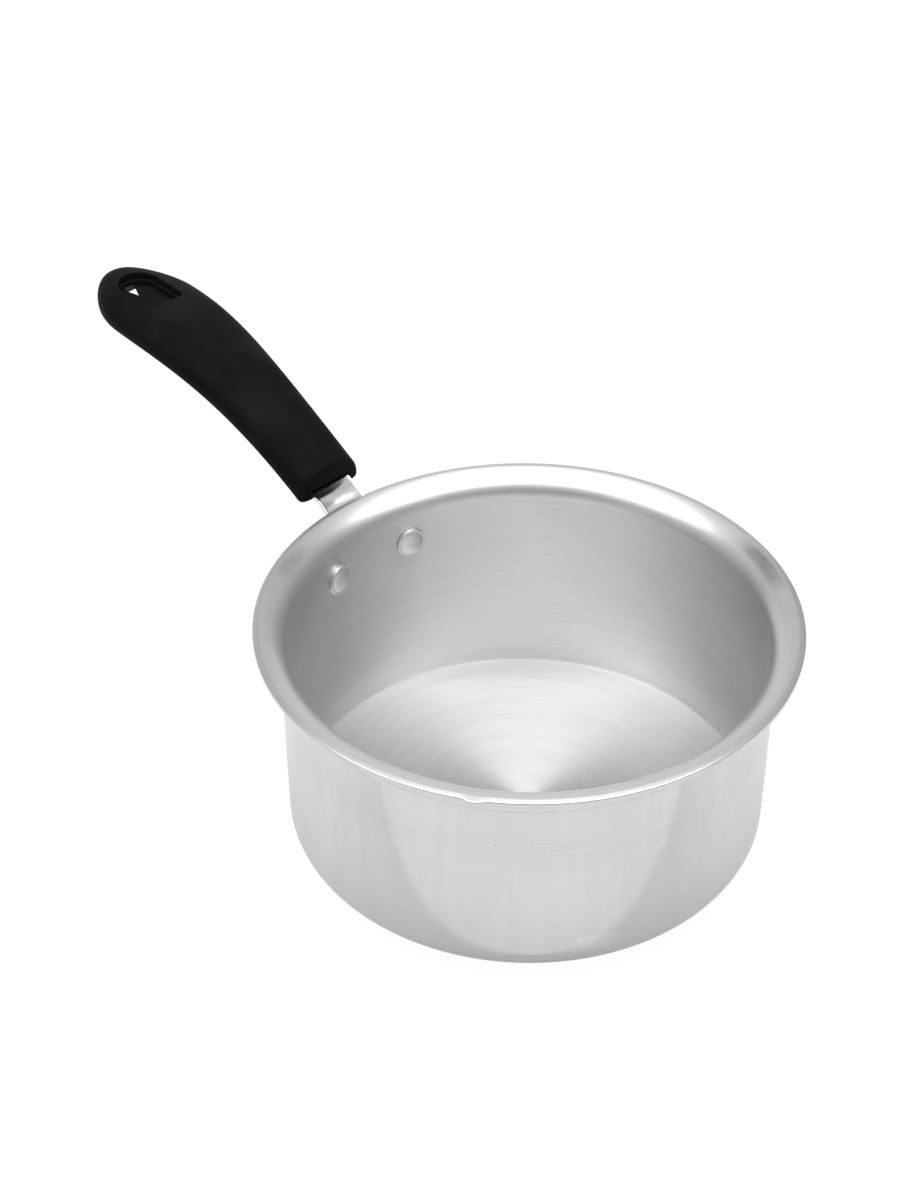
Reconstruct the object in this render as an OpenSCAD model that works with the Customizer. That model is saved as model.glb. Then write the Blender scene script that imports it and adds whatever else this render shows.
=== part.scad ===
// Straight-sided aluminium saucepan with a wide turned-out rim, a riveted bracket and a moulded grip.
// The pan's axis is Z, the table is z = 0, and the handle points along +X. All sizes are millimetres.

/* [Pan] */
// Diameter inside the straight part of the wall
inner_d = 158; // [130:1:220]
// Thickness of the sheet in the wall and the rim
wall_t = 2; // [1.2:0.1:3]
// Thickness of the floor
floor_t = 2.6; // [1.6:0.1:6]
// Height from the table to the top of the rim
pan_h = 82.5; // [70:0.5:150]
// Outside radius of the corner between the wall and the floor
corner_r = 10; // [6:0.5:18]
// How far the wall is drawn in at the corner, on the radius
draw_in = 0.6; // [0:0.1:3]

/* [Rim] */
// Radius of the turned-out curve on the inside of the wall
flare_r = 4; // [3.5:0.1:8]
// Width of the flat lip outside the curve
lip_w = 7; // [3:0.5:14]
// Rounding of the lip's outer edge
lip_round = 0.5; // [0.2:0.1:0.9]

/* [Rivets] */
// Distance between the two rivets, measured straight across the inside of the wall
rivet_spacing = 32.6; // [24:0.2:38]
// Height of the rivets below the top of the rim
rivet_drop = 18.8; // [16:0.2:30]
// Diameter of the shank
shank_d = 5; // [3:0.1:6]
// Diameter of the flat head inside the pan
head_d = 11; // [8:0.5:14]
// Height of the flat head
head_h = 1.7; // [1:0.1:3]
// Diameter of the closed head on the bracket
tail_d = 9; // [7:0.5:12]
// Height of the closed head
tail_h = 1.8; // [1:0.1:3]

/* [Bracket] */
// Thickness of the bracket's sheet
strap_t = 2; // [1.5:0.1:3]
// Width of the strap between the plate and the grip
strap_w = 17; // [12:0.5:20]
// Width of the riveted plate
plate_w = 48; // [44:1:60]
// Height of the riveted plate
plate_h = 17; // [14:0.5:24]
// Corner radius of the plate
plate_corner = 5; // [2:0.5:6]
// Fillet where the strap leaves the plate
shoulder_r = 3; // [1:0.5:6]
// Inside radius of the bend from the wall to the strap
bend_r = 5; // [2:0.5:8]
// Upward slope of the strap, in degrees
strap_rise = 22; // [10:1:35]
// Gap under the lip's outer edge, down to the strap
lip_gap = 2; // [1:0.1:6]
// Distance from the rim's edge to the mouth of the grip
mouth_reach = 11; // [6:0.5:30]
// Length of the tang inside the grip
tang_len = 28; // [24:1:34]
// Upward slope of the tang, in degrees
tang_rise = 31; // [26:1:34]

/* [Grip] */
// Level length of the grip from its mouth to its tip
grip_len = 125; // [110:1:170]
// Climb of the grip's middle line from the mouth to the tip
grip_climb = 28.6; // [20:0.2:40]
// Slope of the middle line at the mouth, in degrees
root_rise = 27.5; // [22:0.5:32]
// Slope of the middle line at the tip, in degrees
tip_rise = 2; // [-5:0.5:8]
// Height of the middle line above the middle of the strap, at the mouth
grip_lift = 0.6; // [0:0.1:1.5]
// Width at the mouth
neck_w = 26.4; // [22:0.2:32]
// Width at the widest place
widest_w = 36.4; // [28:0.2:42]
// Width that the sides close in to before the tip is rounded
tail_w = 31.2; // [26:0.2:36]
// Length of the rounded tip
tip_len = 32; // [20:1:45]
// Height of the crown above the middle line at the mouth
crown_neck = 7.6; // [7:0.1:10]
// Height of the crown above the middle line at the tip
crown_tip = 6.7; // [6:0.1:9]
// Depth of the belly below the middle line at the mouth
belly_neck = 3.2; // [3:0.1:6]
// Depth of the belly below the middle line from the middle on
belly_mid = 5.2; // [4.5:0.1:8]

/* [Hanging hole] */
// Length of the pocket
pocket_len = 24.5; // [20:0.5:34]
// Width of the pocket
pocket_w = 14.6; // [10:0.2:18]
// Depth of the pocket's floor below the crown
pocket_depth = 7.4; // [5:0.1:9]
// Depth of the ledge in the pocket's wall
ledge_depth = 4.3; // [2:0.1:4.8]
// Width of the ledge
ledge_w = 0.7; // [0.3:0.1:1.5]
// Corner radius at the pocket's end nearer the pan
pocket_corner = 2.5; // [1:0.5:4]
// Distance from the pocket to the tip of the grip
pocket_end = 11; // [9:0.5:16]
// Length of the hook hole in the pocket's floor
hook_len = 7; // [5:0.2:10]
// Width of the hook hole at its wide end
hook_w = 4.8; // [4:0.2:7]
// How far the hook hole widens towards the underside, on each side
hook_flare = 5; // [2:0.5:6]

/* [Screw] */
// Diameter of the screw's shank
screw_d = 4; // [3:0.1:5]
// Diameter of the screw's head
screw_head_d = 7.6; // [6:0.2:9]
// Height of the screw's head
screw_head_h = 2; // [1.2:0.1:2.4]
// Thickness of the grip between the head and the tang
screw_seat = 2; // [1.2:0.1:2.4]
// Distance from the mouth of the grip to the screw, along the tang
screw_reach = 20; // [14:0.5:22]
// Length of the shank beyond the tang
screw_grab = 4; // [2:0.1:4.4]
// Width of the driver slot
drive_w = 1.1; // [0.6:0.1:1.4]
// Depth of the driver slot
drive_depth = 1; // [0.5:0.1:1]

/* [Fits] */
// Gap left between faces that are pressed together
seat_gap = 0.05; // [0.02:0.01:0.1]
// Radial clearance around rivet and screw shanks
bore_clear = 0.05; // [0.02:0.01:0.2]
// Clearance around the tang and around the screw's head
socket_clear = 0.1; // [0.05:0.01:0.2]

/* [Hidden] */
$fn = 160;

// Overrun of every cut past the face that it opens
over = 0.5;

// Pan
inner_r = inner_d / 2;
outer_r = inner_r + wall_t;
base_r = outer_r - draw_in;
rim_r = inner_r + flare_r + lip_w;
flare_z = pan_h - flare_r;
lip_z = pan_h - wall_t;
inner_corner_r = corner_r - wall_t;
corner_steps = 12;
round_steps = 4;

// Rivets
rivet_z = pan_h - rivet_drop;
rivet_angle = asin(rivet_spacing / 2 / inner_r);
plate_z = rivet_z - plate_h / 2;
plate_r = outer_r + seat_gap;
plate_out_r = plate_r + strap_t;
straight_z = rivet_z - plate_h;
head_flat_share = 0.6;
head_dish_share = 0.1;
head_edge_share = 0.3;

// Strap: its middle line runs up the wall, through the bend and out to the tang
leg_x = plate_r + strap_t / 2;
bend_mid_r = bend_r + strap_t / 2;
bend_x = leg_x + bend_mid_r;
strap_top_z = lip_z - lip_gap;
bend_z = strap_top_z
    + (bend_x - (bend_mid_r + strap_t / 2) * sin(strap_rise) - rim_r) * tan(strap_rise)
    - (bend_mid_r + strap_t / 2) * cos(strap_rise);
bend_steps = 10;
mouth_x = rim_r + mouth_reach;
mouth_z = strap_top_z + mouth_reach * tan(strap_rise) - strap_t / 2 / cos(strap_rise);
tang_lead = 1.5 * strap_t;
kink_x = mouth_x + tang_lead;
kink_z = mouth_z + tang_lead * tan(strap_rise);
half_kink = (tang_rise - strap_rise) / 2;

// Grip: a curve in the plane of the handle, with a flattened oval section swept along it
tip_x = mouth_x + grip_len;
root_z = mouth_z + grip_lift;
tip_z = root_z + grip_climb;
chord = norm([grip_len, grip_climb]);
root_pull_share = 0.55;
tip_pull_share = 0.31;
widest_share = 0.7;
belly_share = 0.5;
crown_power = 2.2;
belly_power = 3;
tip_power = 8;
run_in = crown_neck;
run_in_rings = 3;
grip_rings = 44;
ring_points = 40;

// Hanging hole
crown_z = tip_z + crown_tip;
floor_z = crown_z - pocket_depth;
belly_z = tip_z - belly_mid;
pocket_x = tip_x - pocket_end - pocket_len;
pocket_end_x = tip_x - pocket_end;
// Half outline of the hook hole: each pair is a share of its length and of its half width
hook_shares = [[0, 0], [0.3, 0.1], [0.5, 0.3], [0.7, 0.6], [0.88, 0.92], [1, 1]];

// Screw
screw_x = kink_x + (screw_reach - tang_lead) * cos(tang_rise);
screw_z = kink_z + (screw_reach - tang_lead) * sin(tang_rise);
screw_seat_z = -strap_t / 2 - screw_seat;
screw_head_round = screw_head_h / 2;

// Points along an arc, from angle a0 to angle a1
function arc_points(cx, cy, r, a0, a1, n) =
    [for (i = [0:n]) let (a = a0 + (a1 - a0) * i / n) [cx + r * cos(a), cy + r * sin(a)]];

// Half section of the pan, from its axis out along the base, over the rim and back along the inside
pan_section = concat(
    [[0, 0]],
    arc_points(base_r - corner_r, corner_r, corner_r, -90, 0, corner_steps),
    [[outer_r, straight_z]],
    arc_points(inner_r + flare_r, flare_z, flare_r - wall_t, 180, 90, corner_steps),
    arc_points(rim_r - lip_round, lip_z + lip_round, lip_round, -90, 0, round_steps),
    arc_points(rim_r - lip_round, pan_h - lip_round, lip_round, 0, 90, round_steps),
    arc_points(inner_r + flare_r, flare_z, flare_r, 90, 180, corner_steps),
    [[inner_r, straight_z]],
    arc_points(base_r - corner_r, floor_t + inner_corner_r, inner_corner_r, 0, -90, corner_steps),
    [[0, floor_t]]);

// Half section of a rivet's flat head, standing on z = 0: a rounded edge round a shallow dished middle
function head_section(r, h, sunk) =
    let (flat_r = r * head_flat_share, edge_h = h * head_edge_share)
    concat(
        [[0, -sunk], [r, -sunk]],
        [for (i = [0:corner_steps])
            let (a = 90 * i / corner_steps)
            [flat_r + (r - flat_r) * cos(a), edge_h + (h - edge_h) * sin(a)]],
        [[flat_r - h * head_dish_share, h * (1 - head_dish_share)], [0, h * (1 - head_dish_share)]]);

// Places on the strap's middle line: x, z and the direction in degrees
function strap_line(first_x, reach) = concat(
    first_x < bend_x
        ? concat(
            [[leg_x, rivet_z, 90]],
            [for (i = [0:bend_steps])
                let (a = 180 - (90 - strap_rise) * i / bend_steps)
                [bend_x + bend_mid_r * cos(a), bend_z + bend_mid_r * sin(a), a - 90]])
        : [[first_x, mouth_z - (mouth_x - first_x) * tan(strap_rise), strap_rise]],
    [[kink_x, kink_z, strap_rise + half_kink]],
    [[kink_x + reach * cos(tang_rise), kink_z + reach * sin(tang_rise), tang_rise]]);

// One side of the strap, at distance h from its middle line
function strap_side(line, h) =
    [for (i = [0:len(line) - 1])
        let (p = line[i], stretch = i == len(line) - 2 ? 1 / cos(half_kink) : 1)
        [p[0] - h * stretch * sin(p[2]), p[1] + h * stretch * cos(p[2])]];

function reversed(list) = [for (i = [len(list) - 1:-1:0]) list[i]];

// Middle line of the grip: a cubic curve for t from 0 to 1, straight before 0
function bezier(a, b, c, d, t) =
    pow(1 - t, 3) * a + 3 * pow(1 - t, 2) * t * b + 3 * (1 - t) * t * t * c + t * t * t * d;
function bezier_slope(a, b, c, d, t) =
    3 * pow(1 - t, 2) * (b - a) + 6 * (1 - t) * t * (c - b) + 3 * t * t * (d - c);
grip_a = [mouth_x, root_z];
grip_d = [tip_x, tip_z];
grip_b = grip_a + root_pull_share * chord * [cos(root_rise), sin(root_rise)];
grip_c = grip_d - tip_pull_share * chord * [cos(tip_rise), sin(tip_rise)];
function grip_angle(t) =
    let (v = bezier_slope(grip_a, grip_b, grip_c, grip_d, max(t, 0))) atan2(v[1], v[0]);
function grip_middle(t) =
    bezier(grip_a, grip_b, grip_c, grip_d, max(t, 0))
    + min(t, 0) * chord * [cos(root_rise), sin(root_rise)];

// How far into the rounded tip a place is: 0 before it, 1 at its end
function tip_way(t) = max(0, 1 - (1 - t) * chord / tip_len);

// Half width, crown height and belly depth along the grip
function half_width(t) =
    let (
        s = max(t, 0),
        swell = neck_w + (widest_w - neck_w) * (1 - cos(180 * min(s / widest_share, 1))) / 2,
        close = (tail_w - widest_w) * pow(max(0, (s - widest_share) / (1 - widest_share)), 2))
    (swell + close) / 2 * sqrt(1 - pow(tip_way(s), 2));
function tip_thin(t) = sqrt(1 - pow(tip_way(t), tip_power));
function crown(t) = (crown_neck + (crown_tip - crown_neck) * max(t, 0)) * tip_thin(t);
function belly(t) =
    (belly_neck + (belly_mid - belly_neck) * sin(90 * min(max(t, 0) / belly_share, 1))) * tip_thin(t);

function signed_pow(v, p) = sign(v) * pow(abs(v), p);

// One ring of the grip's skin
function grip_ring(t) =
    let (m = grip_middle(t), slope = grip_angle(t), w = half_width(t), c = crown(t), b = belly(t))
    [for (j = [0:ring_points - 1])
        let (
            a = 360 * j / ring_points,
            up = sin(a) >= 0,
            power = 2 / (up ? crown_power : belly_power),
            h = (up ? c : b) * signed_pow(sin(a), power))
        [m[0] - h * sin(slope), w * signed_pow(cos(a), power), m[1] + h * cos(slope)]];

ring_places = concat(
    [for (i = [0:run_in_rings - 1]) -(run_in / chord) * (1 - i / run_in_rings)],
    [for (i = [0:grip_rings - 1]) 1 - pow(1 - i / grip_rings, 2)]);
grip_points = concat([for (t = ring_places) each grip_ring(t)], [[tip_x, 0, tip_z]]);
last_ring = (len(ring_places) - 1) * ring_points;
grip_faces = concat(
    [[for (j = [0:ring_points - 1]) j]],
    [for (i = [0:len(ring_places) - 2], j = [0:ring_points - 1])
        let (a = i * ring_points + j, d = i * ring_points + (j + 1) % ring_points)
        each [[a, a + ring_points, d + ring_points], [a, d + ring_points, d]]],
    [for (j = [0:ring_points - 1])
        [last_ring + j, last_ring + ring_points, last_ring + (j + 1) % ring_points]]);

// Puts its children at a rivet: z = 0 is the pan's axis and +Z points out through the wall
module at_rivet(side) {
    translate([0, 0, rivet_z])
        rotate([0, 0, side * rivet_angle])
            rotate([0, 90, 0])
                children();
}

// Bores for both rivets, through the wall and the plate
module rivet_bores() {
    for (side = [-1, 1])
        at_rivet(side)
            translate([0, 0, inner_r - flare_r])
                cylinder(r = shank_d / 2 + bore_clear, h = wall_t + strap_t + 2 * flare_r);
}

// Puts its children at the screw: +Z is square to the tang, towards the crown
module at_screw() {
    translate([screw_x, 0, screw_z])
        rotate([0, -tang_rise, 0])
            children();
}

// Flat outline with a full round at the tip end and small corners at the other end
module pocket_outline(width, corner, trim) {
    length = pocket_len - 2 * trim;
    translate([pocket_x + trim, 0]) {
        translate([length - width / 2, 0])
            circle(r = width / 2);
        translate([corner, -width / 2])
            square([length - width / 2 - corner, width]);
        translate([0, corner - width / 2])
            square([corner, width - 2 * corner]);
        for (side = [-1, 1])
            translate([corner, side * (width / 2 - corner)])
                circle(r = corner);
    }
}

// Outline of the bracket seen from the handle's end: the rounded plate, the strap and their fillets
module bracket_outline() {
    plate_top = plate_h / 2;
    for (sx = [-1, 1], sy = [-1, 1])
        translate([sx * (plate_w / 2 - plate_corner), sy * (plate_top - plate_corner)])
            circle(r = plate_corner);
    square([plate_w, plate_h - 2 * plate_corner], center = true);
    square([plate_w - 2 * plate_corner, plate_h], center = true);
}

// Fillets between the plate's upper edge and the strap
module shoulders() {
    for (side = [-1, 1])
        difference() {
            translate([side > 0 ? strap_w / 2 - over : -strap_w / 2 - shoulder_r, plate_h / 2 - over])
                square([shoulder_r + over, shoulder_r + over]);
            translate([side * (strap_w / 2 + shoulder_r), plate_h / 2 + shoulder_r])
                circle(r = shoulder_r);
        }
}

module pan_body() {
    color("gainsboro")
        difference() {
            rotate_extrude()
                polygon(pan_section);
            rivet_bores();
        }
}

module handle_bracket() {
    line = strap_line(leg_x, tang_len);
    color("silver")
        difference() {
            union() {
                intersection() {
                    translate([0, 0, plate_z])
                        difference() {
                            cylinder(r = plate_out_r, h = plate_h + shoulder_r);
                            translate([0, 0, -over])
                                cylinder(r = plate_r, h = plate_h + shoulder_r + 2 * over);
                        }
                    translate([0, 0, rivet_z])
                        rotate([90, 0, 90])
                            linear_extrude(height = rim_r) {
                                bracket_outline();
                                shoulders();
                            }
                }
                translate([0, strap_w / 2, 0])
                    rotate([90, 0, 0])
                        linear_extrude(height = strap_w)
                            polygon(concat(
                                strap_side(line, strap_t / 2),
                                reversed(strap_side(line, -strap_t / 2))));
            }
            rivet_bores();
            at_screw()
                translate([0, 0, -strap_t])
                    cylinder(r = screw_d / 2 + bore_clear, h = 2 * strap_t);
        }
}

module rivet(side) {
    color("whitesmoke")
        union() {
            intersection() {
                at_rivet(side)
                    translate([0, 0, inner_r - seat_gap])
                        mirror([0, 0, 1])
                            rotate_extrude()
                                polygon(head_section(head_d / 2, head_h, head_h));
                cylinder(r = inner_r - seat_gap, h = pan_h);
            }
            at_rivet(side)
                translate([0, 0, inner_r - head_h / 2])
                    cylinder(r = shank_d / 2, h = wall_t + strap_t + (head_h + tail_h) / 2);
            difference() {
                at_rivet(side)
                    translate([0, 0, plate_out_r + seat_gap])
                        rotate_extrude()
                            polygon(head_section(tail_d / 2, tail_h, tail_h));
                cylinder(r = plate_out_r + seat_gap, h = pan_h);
            }
        }
}

module rivet_left() {
    rivet(1);
}

module rivet_right() {
    rivet(-1);
}

module grip() {
    line = strap_line(mouth_x - run_in, tang_len + socket_clear);
    socket_w = strap_w + 2 * socket_clear;
    color("dimgray")
        difference() {
            polyhedron(points = grip_points, faces = grip_faces);
            // End face, square to the table
            translate([mouth_x - 2 * run_in, -widest_w, root_z - widest_w])
                cube([2 * run_in, 2 * widest_w, 2 * widest_w]);
            // Socket for the tang
            translate([0, socket_w / 2, 0])
                rotate([90, 0, 0])
                    linear_extrude(height = socket_w)
                        polygon(concat(
                            strap_side(line, strap_t / 2 + socket_clear),
                            reversed(strap_side(line, -strap_t / 2 - socket_clear))));
            // Screw: a hole past the tang and a sunk seat for the head
            at_screw() {
                translate([0, 0, screw_seat_z - over])
                    cylinder(r = screw_d / 2 + bore_clear, h = over + screw_seat + strap_t + screw_grab + over);
                translate([0, 0, screw_seat_z - belly_mid])
                    cylinder(r = screw_head_d / 2 + socket_clear, h = belly_mid);
            }
            // Pocket of the hanging hole, with a ledge part of the way down
            translate([0, 0, crown_z - ledge_depth])
                linear_extrude(height = ledge_depth + crown_tip)
                    pocket_outline(pocket_w, pocket_corner, 0);
            translate([0, 0, floor_z])
                linear_extrude(height = pocket_depth)
                    pocket_outline(pocket_w - 2 * ledge_w, pocket_corner, ledge_w);
            // Hook hole, widening towards the underside
            hook_hole();
        }
}

module hook_hole() {
    drop = floor_z - belly_z + over;
    half_l = hook_len / 2;
    half_w = hook_w / 2;
    grow_l = (half_l + hook_flare) / half_l;
    grow_w = (half_w + hook_flare) / half_w;
    side = [for (p = hook_shares) [(p[0] - 1 / 2) * hook_len * grow_l, p[1] * half_w * grow_w]];
    translate([pocket_end_x - ledge_w - half_l + over, 0, floor_z - drop])
        linear_extrude(height = drop + over, scale = [1 / grow_l, 1 / grow_w], slices = 1, $fn = 32)
            polygon(concat(side, [for (p = reversed(side)) if (p[1] > 0) [p[0], -p[1]]]));
}

module grip_screw() {
    head_r = screw_head_d / 2;
    color("lightsteelblue")
        at_screw() {
            cylinder(r = screw_d / 2, h = strap_t / 2 + screw_grab);
            difference() {
                translate([0, 0, screw_seat_z])
                    mirror([0, 0, 1])
                        rotate_extrude()
                            polygon(concat(
                                [[0, 0], [head_r, 0]],
                                arc_points(head_r - screw_head_round, screw_head_h - screw_head_round,
                                    screw_head_round, 0, 90, corner_steps),
                                [[0, screw_head_h]]));
                translate([0, 0, screw_seat_z - screw_head_h + drive_depth / 2 - over / 2])
                    cube([screw_head_d + over, drive_w, drive_depth + over], center = true);
            }
            translate([0, 0, screw_seat_z - (screw_head_h - drive_depth) / 2])
                cylinder(r = screw_d / 2, h = screw_seat + strap_t / 2 + (screw_head_h - drive_depth) / 2);
        }
}

pan_body();
handle_bracket();
rivet_left();
rivet_right();
grip();
grip_screw();
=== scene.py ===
"""Looks of a riveted aluminium saucepan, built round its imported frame.

The pan's axis is Z, the table is z = 0 and the handle points along +X. The sizes held by the
classes are millimetres; make_piece turns them into metres.
"""
import logging
import math
from dataclasses import dataclass, field
from enum import Enum

import bpy
import numpy as np
from mathutils import Matrix, Vector


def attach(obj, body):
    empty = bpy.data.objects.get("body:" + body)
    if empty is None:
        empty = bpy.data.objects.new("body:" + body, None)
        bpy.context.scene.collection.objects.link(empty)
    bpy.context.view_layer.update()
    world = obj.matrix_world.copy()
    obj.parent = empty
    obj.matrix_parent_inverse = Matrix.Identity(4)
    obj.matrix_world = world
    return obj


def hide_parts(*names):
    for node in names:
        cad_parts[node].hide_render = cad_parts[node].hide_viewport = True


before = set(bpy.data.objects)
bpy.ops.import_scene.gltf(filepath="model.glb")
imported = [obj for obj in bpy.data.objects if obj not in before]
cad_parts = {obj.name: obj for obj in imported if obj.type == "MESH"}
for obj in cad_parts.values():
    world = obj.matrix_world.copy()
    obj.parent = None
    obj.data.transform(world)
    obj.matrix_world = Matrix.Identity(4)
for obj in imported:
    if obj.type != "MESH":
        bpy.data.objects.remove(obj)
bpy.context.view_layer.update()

logging.basicConfig(level=logging.INFO, format="%(name)s: %(message)s")
log = logging.getLogger("saucepan")

Array = np.ndarray
Colour = tuple[float, float, float]
MM = 0.001
BODY = "root"
LENGTH_NAME = "profile_length"
TURNING_UV = "turning"

# Angles and sines closer than this count as equal
ANGLE_GUARD = 1e-9

# Sizes that more than one piece uses, in millimetres
INNER_R = 79.0
RIM_R = 90.0
PLATE_R = 81.05
STRAP_T = 2.0
STRAP_W = 17.0
RIVET_Z = 63.7


class Slot(Enum):
    """Names for material slots, which the pieces here do not use."""

    PAN = "pan_metal"
    BRACKET = "bracket_metal"
    RIVET = "rivet_metal"
    GRIP = "grip_black"
    SCREW = "screw_metal"


class Zone(Enum):
    """Zones of the pan's skin, as the numbers of its material slots."""

    OUTSIDE = 0
    WALL = 1
    FLOOR = 2
    LIP = 3
    BAND = 4


class Across(Enum):
    """Way in which a patch on the pan has its width: out from the axis or up the wall."""

    OUT = "out"
    UP = "up"


class Facing(Enum):
    """Where a lamp faces; the value is its back's direction as shares of right, away and up."""

    DOWN = (0.0, 0.0, 1.0)
    RIGHT = (-1.0, 0.0, 0.0)
    LEFT = (1.0, 0.0, 0.0)
    FRONT = (0.0, 1.0, 0.0)


class Side(Enum):
    """Sides of the handle, as the sign of Y."""

    LEFT = 1
    RIGHT = -1


# Curves and grids


def arc(centre: tuple[float, float], radius: float, first: float, last: float, *, steps: int) -> Array:
    """Points of a flat arc: centre + radius * (cos a, sin a), with a even from first to last.

    Args:
        centre: Centre of the arc.
        radius: Radius of the arc.
        first: Angle of the first point, in degrees.
        last: Angle of the last point, in degrees.
        steps: Number of steps between the first and the last point.

    Returns:
        An array of steps + 1 points.
    """
    angle = np.radians(np.linspace(first, last, steps + 1))
    return np.stack([centre[0] + radius * np.cos(angle), centre[1] + radius * np.sin(angle)], axis=1)


def line(first: tuple[float, float], last: tuple[float, float], *, steps: int) -> Array:
    """Points of a straight line: first + share * (last - first), without the first and last point.

    Args:
        first: Point before the first one returned.
        last: Point after the last one returned.
        steps: Number of even steps that the line is cut into.

    Returns:
        An array of steps - 1 points.
    """
    share = np.linspace(0.0, 1.0, steps + 1)[1:-1, None]
    return np.array(first) * (1.0 - share) + np.array(last) * share


def smooth_step(value: Array, low: float, high: float) -> Array:
    """Runs from 0 at low to 1 at high along 3 s^2 - 2 s^3, where s is the clipped share of the way."""
    share = np.clip((value - low) / (high - low), 0.0, 1.0)
    return share * share * (3.0 - 2.0 * share)


def path_length(points: Array) -> Array:
    """Distance along a row of points: the running sum of the lengths of its steps, from 0."""
    steps = np.linalg.norm(np.diff(points, axis=0), axis=1)
    return np.concatenate([[0.0], np.cumsum(steps)])


def ring_faces(rows: int, columns: int) -> Array:
    """Four-sided faces between neighbouring closed rings of points.

    Face (i, j) joins points (i, j), (i, j + 1), (i + 1, j + 1) and (i + 1, j), and j wraps round.

    Args:
        rows: Number of rings.
        columns: Number of points in each ring.

    Returns:
        An array of (rows - 1) * columns faces of four point numbers.
    """
    row = np.arange(rows - 1)[:, None] * columns
    here = np.arange(columns)[None, :]
    after = (here + 1) % columns
    corners = [row + here, row + after, row + columns + after, row + columns + here]
    return np.stack(corners, axis=-1).reshape(-1, 4)


def fan_faces(first: int, columns: int, pole: int, flip: bool) -> Array:
    """Three-sided faces that close a ring of points to one pole.

    Args:
        first: Number of the ring's first point.
        columns: Number of points in the ring.
        pole: Number of the pole's point.
        flip: Whether the faces turn the other way round.

    Returns:
        An array of columns faces of three point numbers.
    """
    here = np.arange(columns)
    after = (here + 1) % columns
    ends = (first + after, first + here) if flip else (first + here, first + after)
    return np.stack([ends[0], ends[1], np.full(columns, pole)], axis=-1)


def make_piece(name: str, points: Array, quads: Array, triangles: Array) -> bpy.types.Object:
    """Puts points and faces into a new smooth object in the scene.

    Args:
        name: Name of the object and of its mesh.
        points: Points, in millimetres.
        quads: Four-sided faces.
        triangles: Three-sided faces.

    Returns:
        The new object, at the origin, with its faces pointing outwards as given.
    """
    mesh = bpy.data.meshes.new(name)
    mesh.from_pydata((points * MM).tolist(), [], quads.tolist() + triangles.tolist())
    mesh.polygons.foreach_set("use_smooth", np.ones(len(mesh.polygons), dtype=bool))
    mesh.update()
    piece = bpy.data.objects.new(name, mesh)
    bpy.context.scene.collection.objects.link(piece)
    return piece


def closed_skin(name: str, rings: Array, first_pole: Array, last_pole: Array) -> bpy.types.Object:
    """Makes an object from closed rings of points, closed by a pole at each end.

    Args:
        name: Name of the object.
        rings: Points as an array of rings, columns and x, y, z.
        first_pole: Point that closes the first ring.
        last_pole: Point that closes the last ring.

    Returns:
        The new object.
    """
    rows, columns = rings.shape[:2]
    points = np.concatenate([rings.reshape(-1, 3), [first_pole], [last_pole]])
    last_ring = (rows - 1) * columns
    triangles = np.concatenate([
        fan_faces(0, columns, rows * columns, flip=True),
        fan_faces(last_ring, columns, rows * columns + 1, flip=False),
    ])
    return make_piece(name, points, ring_faces(rows, columns), triangles)


def lathe_rings(section: Array, *, segments: int) -> Array:
    """Turns a half section round the Z axis: (r cos a, r sin a, z) for even angles a.

    Args:
        section: Points (r, z) with r above 0.
        segments: Number of points in each ring.

    Returns:
        Points as an array of rings, columns and x, y, z.
    """
    angle = np.linspace(0.0, 2.0 * np.pi, segments, endpoint=False)
    radius, height = section[:, :1], section[:, 1:]
    return np.stack([
        radius * np.cos(angle),
        radius * np.sin(angle),
        np.broadcast_to(height, (len(section), segments)),
    ], axis=-1)


def subtract(piece: bpy.types.Object, cutters: list[bpy.types.Object], sharp_degrees: float) -> None:
    """Cuts shapes out of a piece, keeps the result as its mesh and removes the cutters.

    Args:
        piece: Piece that is cut.
        cutters: Closed shapes to cut away.
        sharp_degrees: Least angle between faces at which an edge shades sharp.
    """
    for cutter in cutters:
        cut = piece.modifiers.new("cut", "BOOLEAN")
        cut.operation = "DIFFERENCE"
        cut.solver = "EXACT"
        cut.object = cutter
    bpy.context.view_layer.update()
    shown = piece.evaluated_get(bpy.context.evaluated_depsgraph_get())
    result = bpy.data.meshes.new_from_object(shown)
    piece.modifiers.clear()
    old = piece.data
    piece.data = result
    bpy.data.meshes.remove(old)
    result.name = piece.name
    result.set_sharp_from_angle(angle=math.radians(sharp_degrees))
    for cutter in cutters:
        bpy.data.meshes.remove(cutter.data)


# Shader node groups that the finishes share


@dataclass(frozen=True)
class Noise:
    """Scale, number of finer layers and roughness of a noise."""

    scale: float
    detail: float
    roughness: float = 0.5


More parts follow.
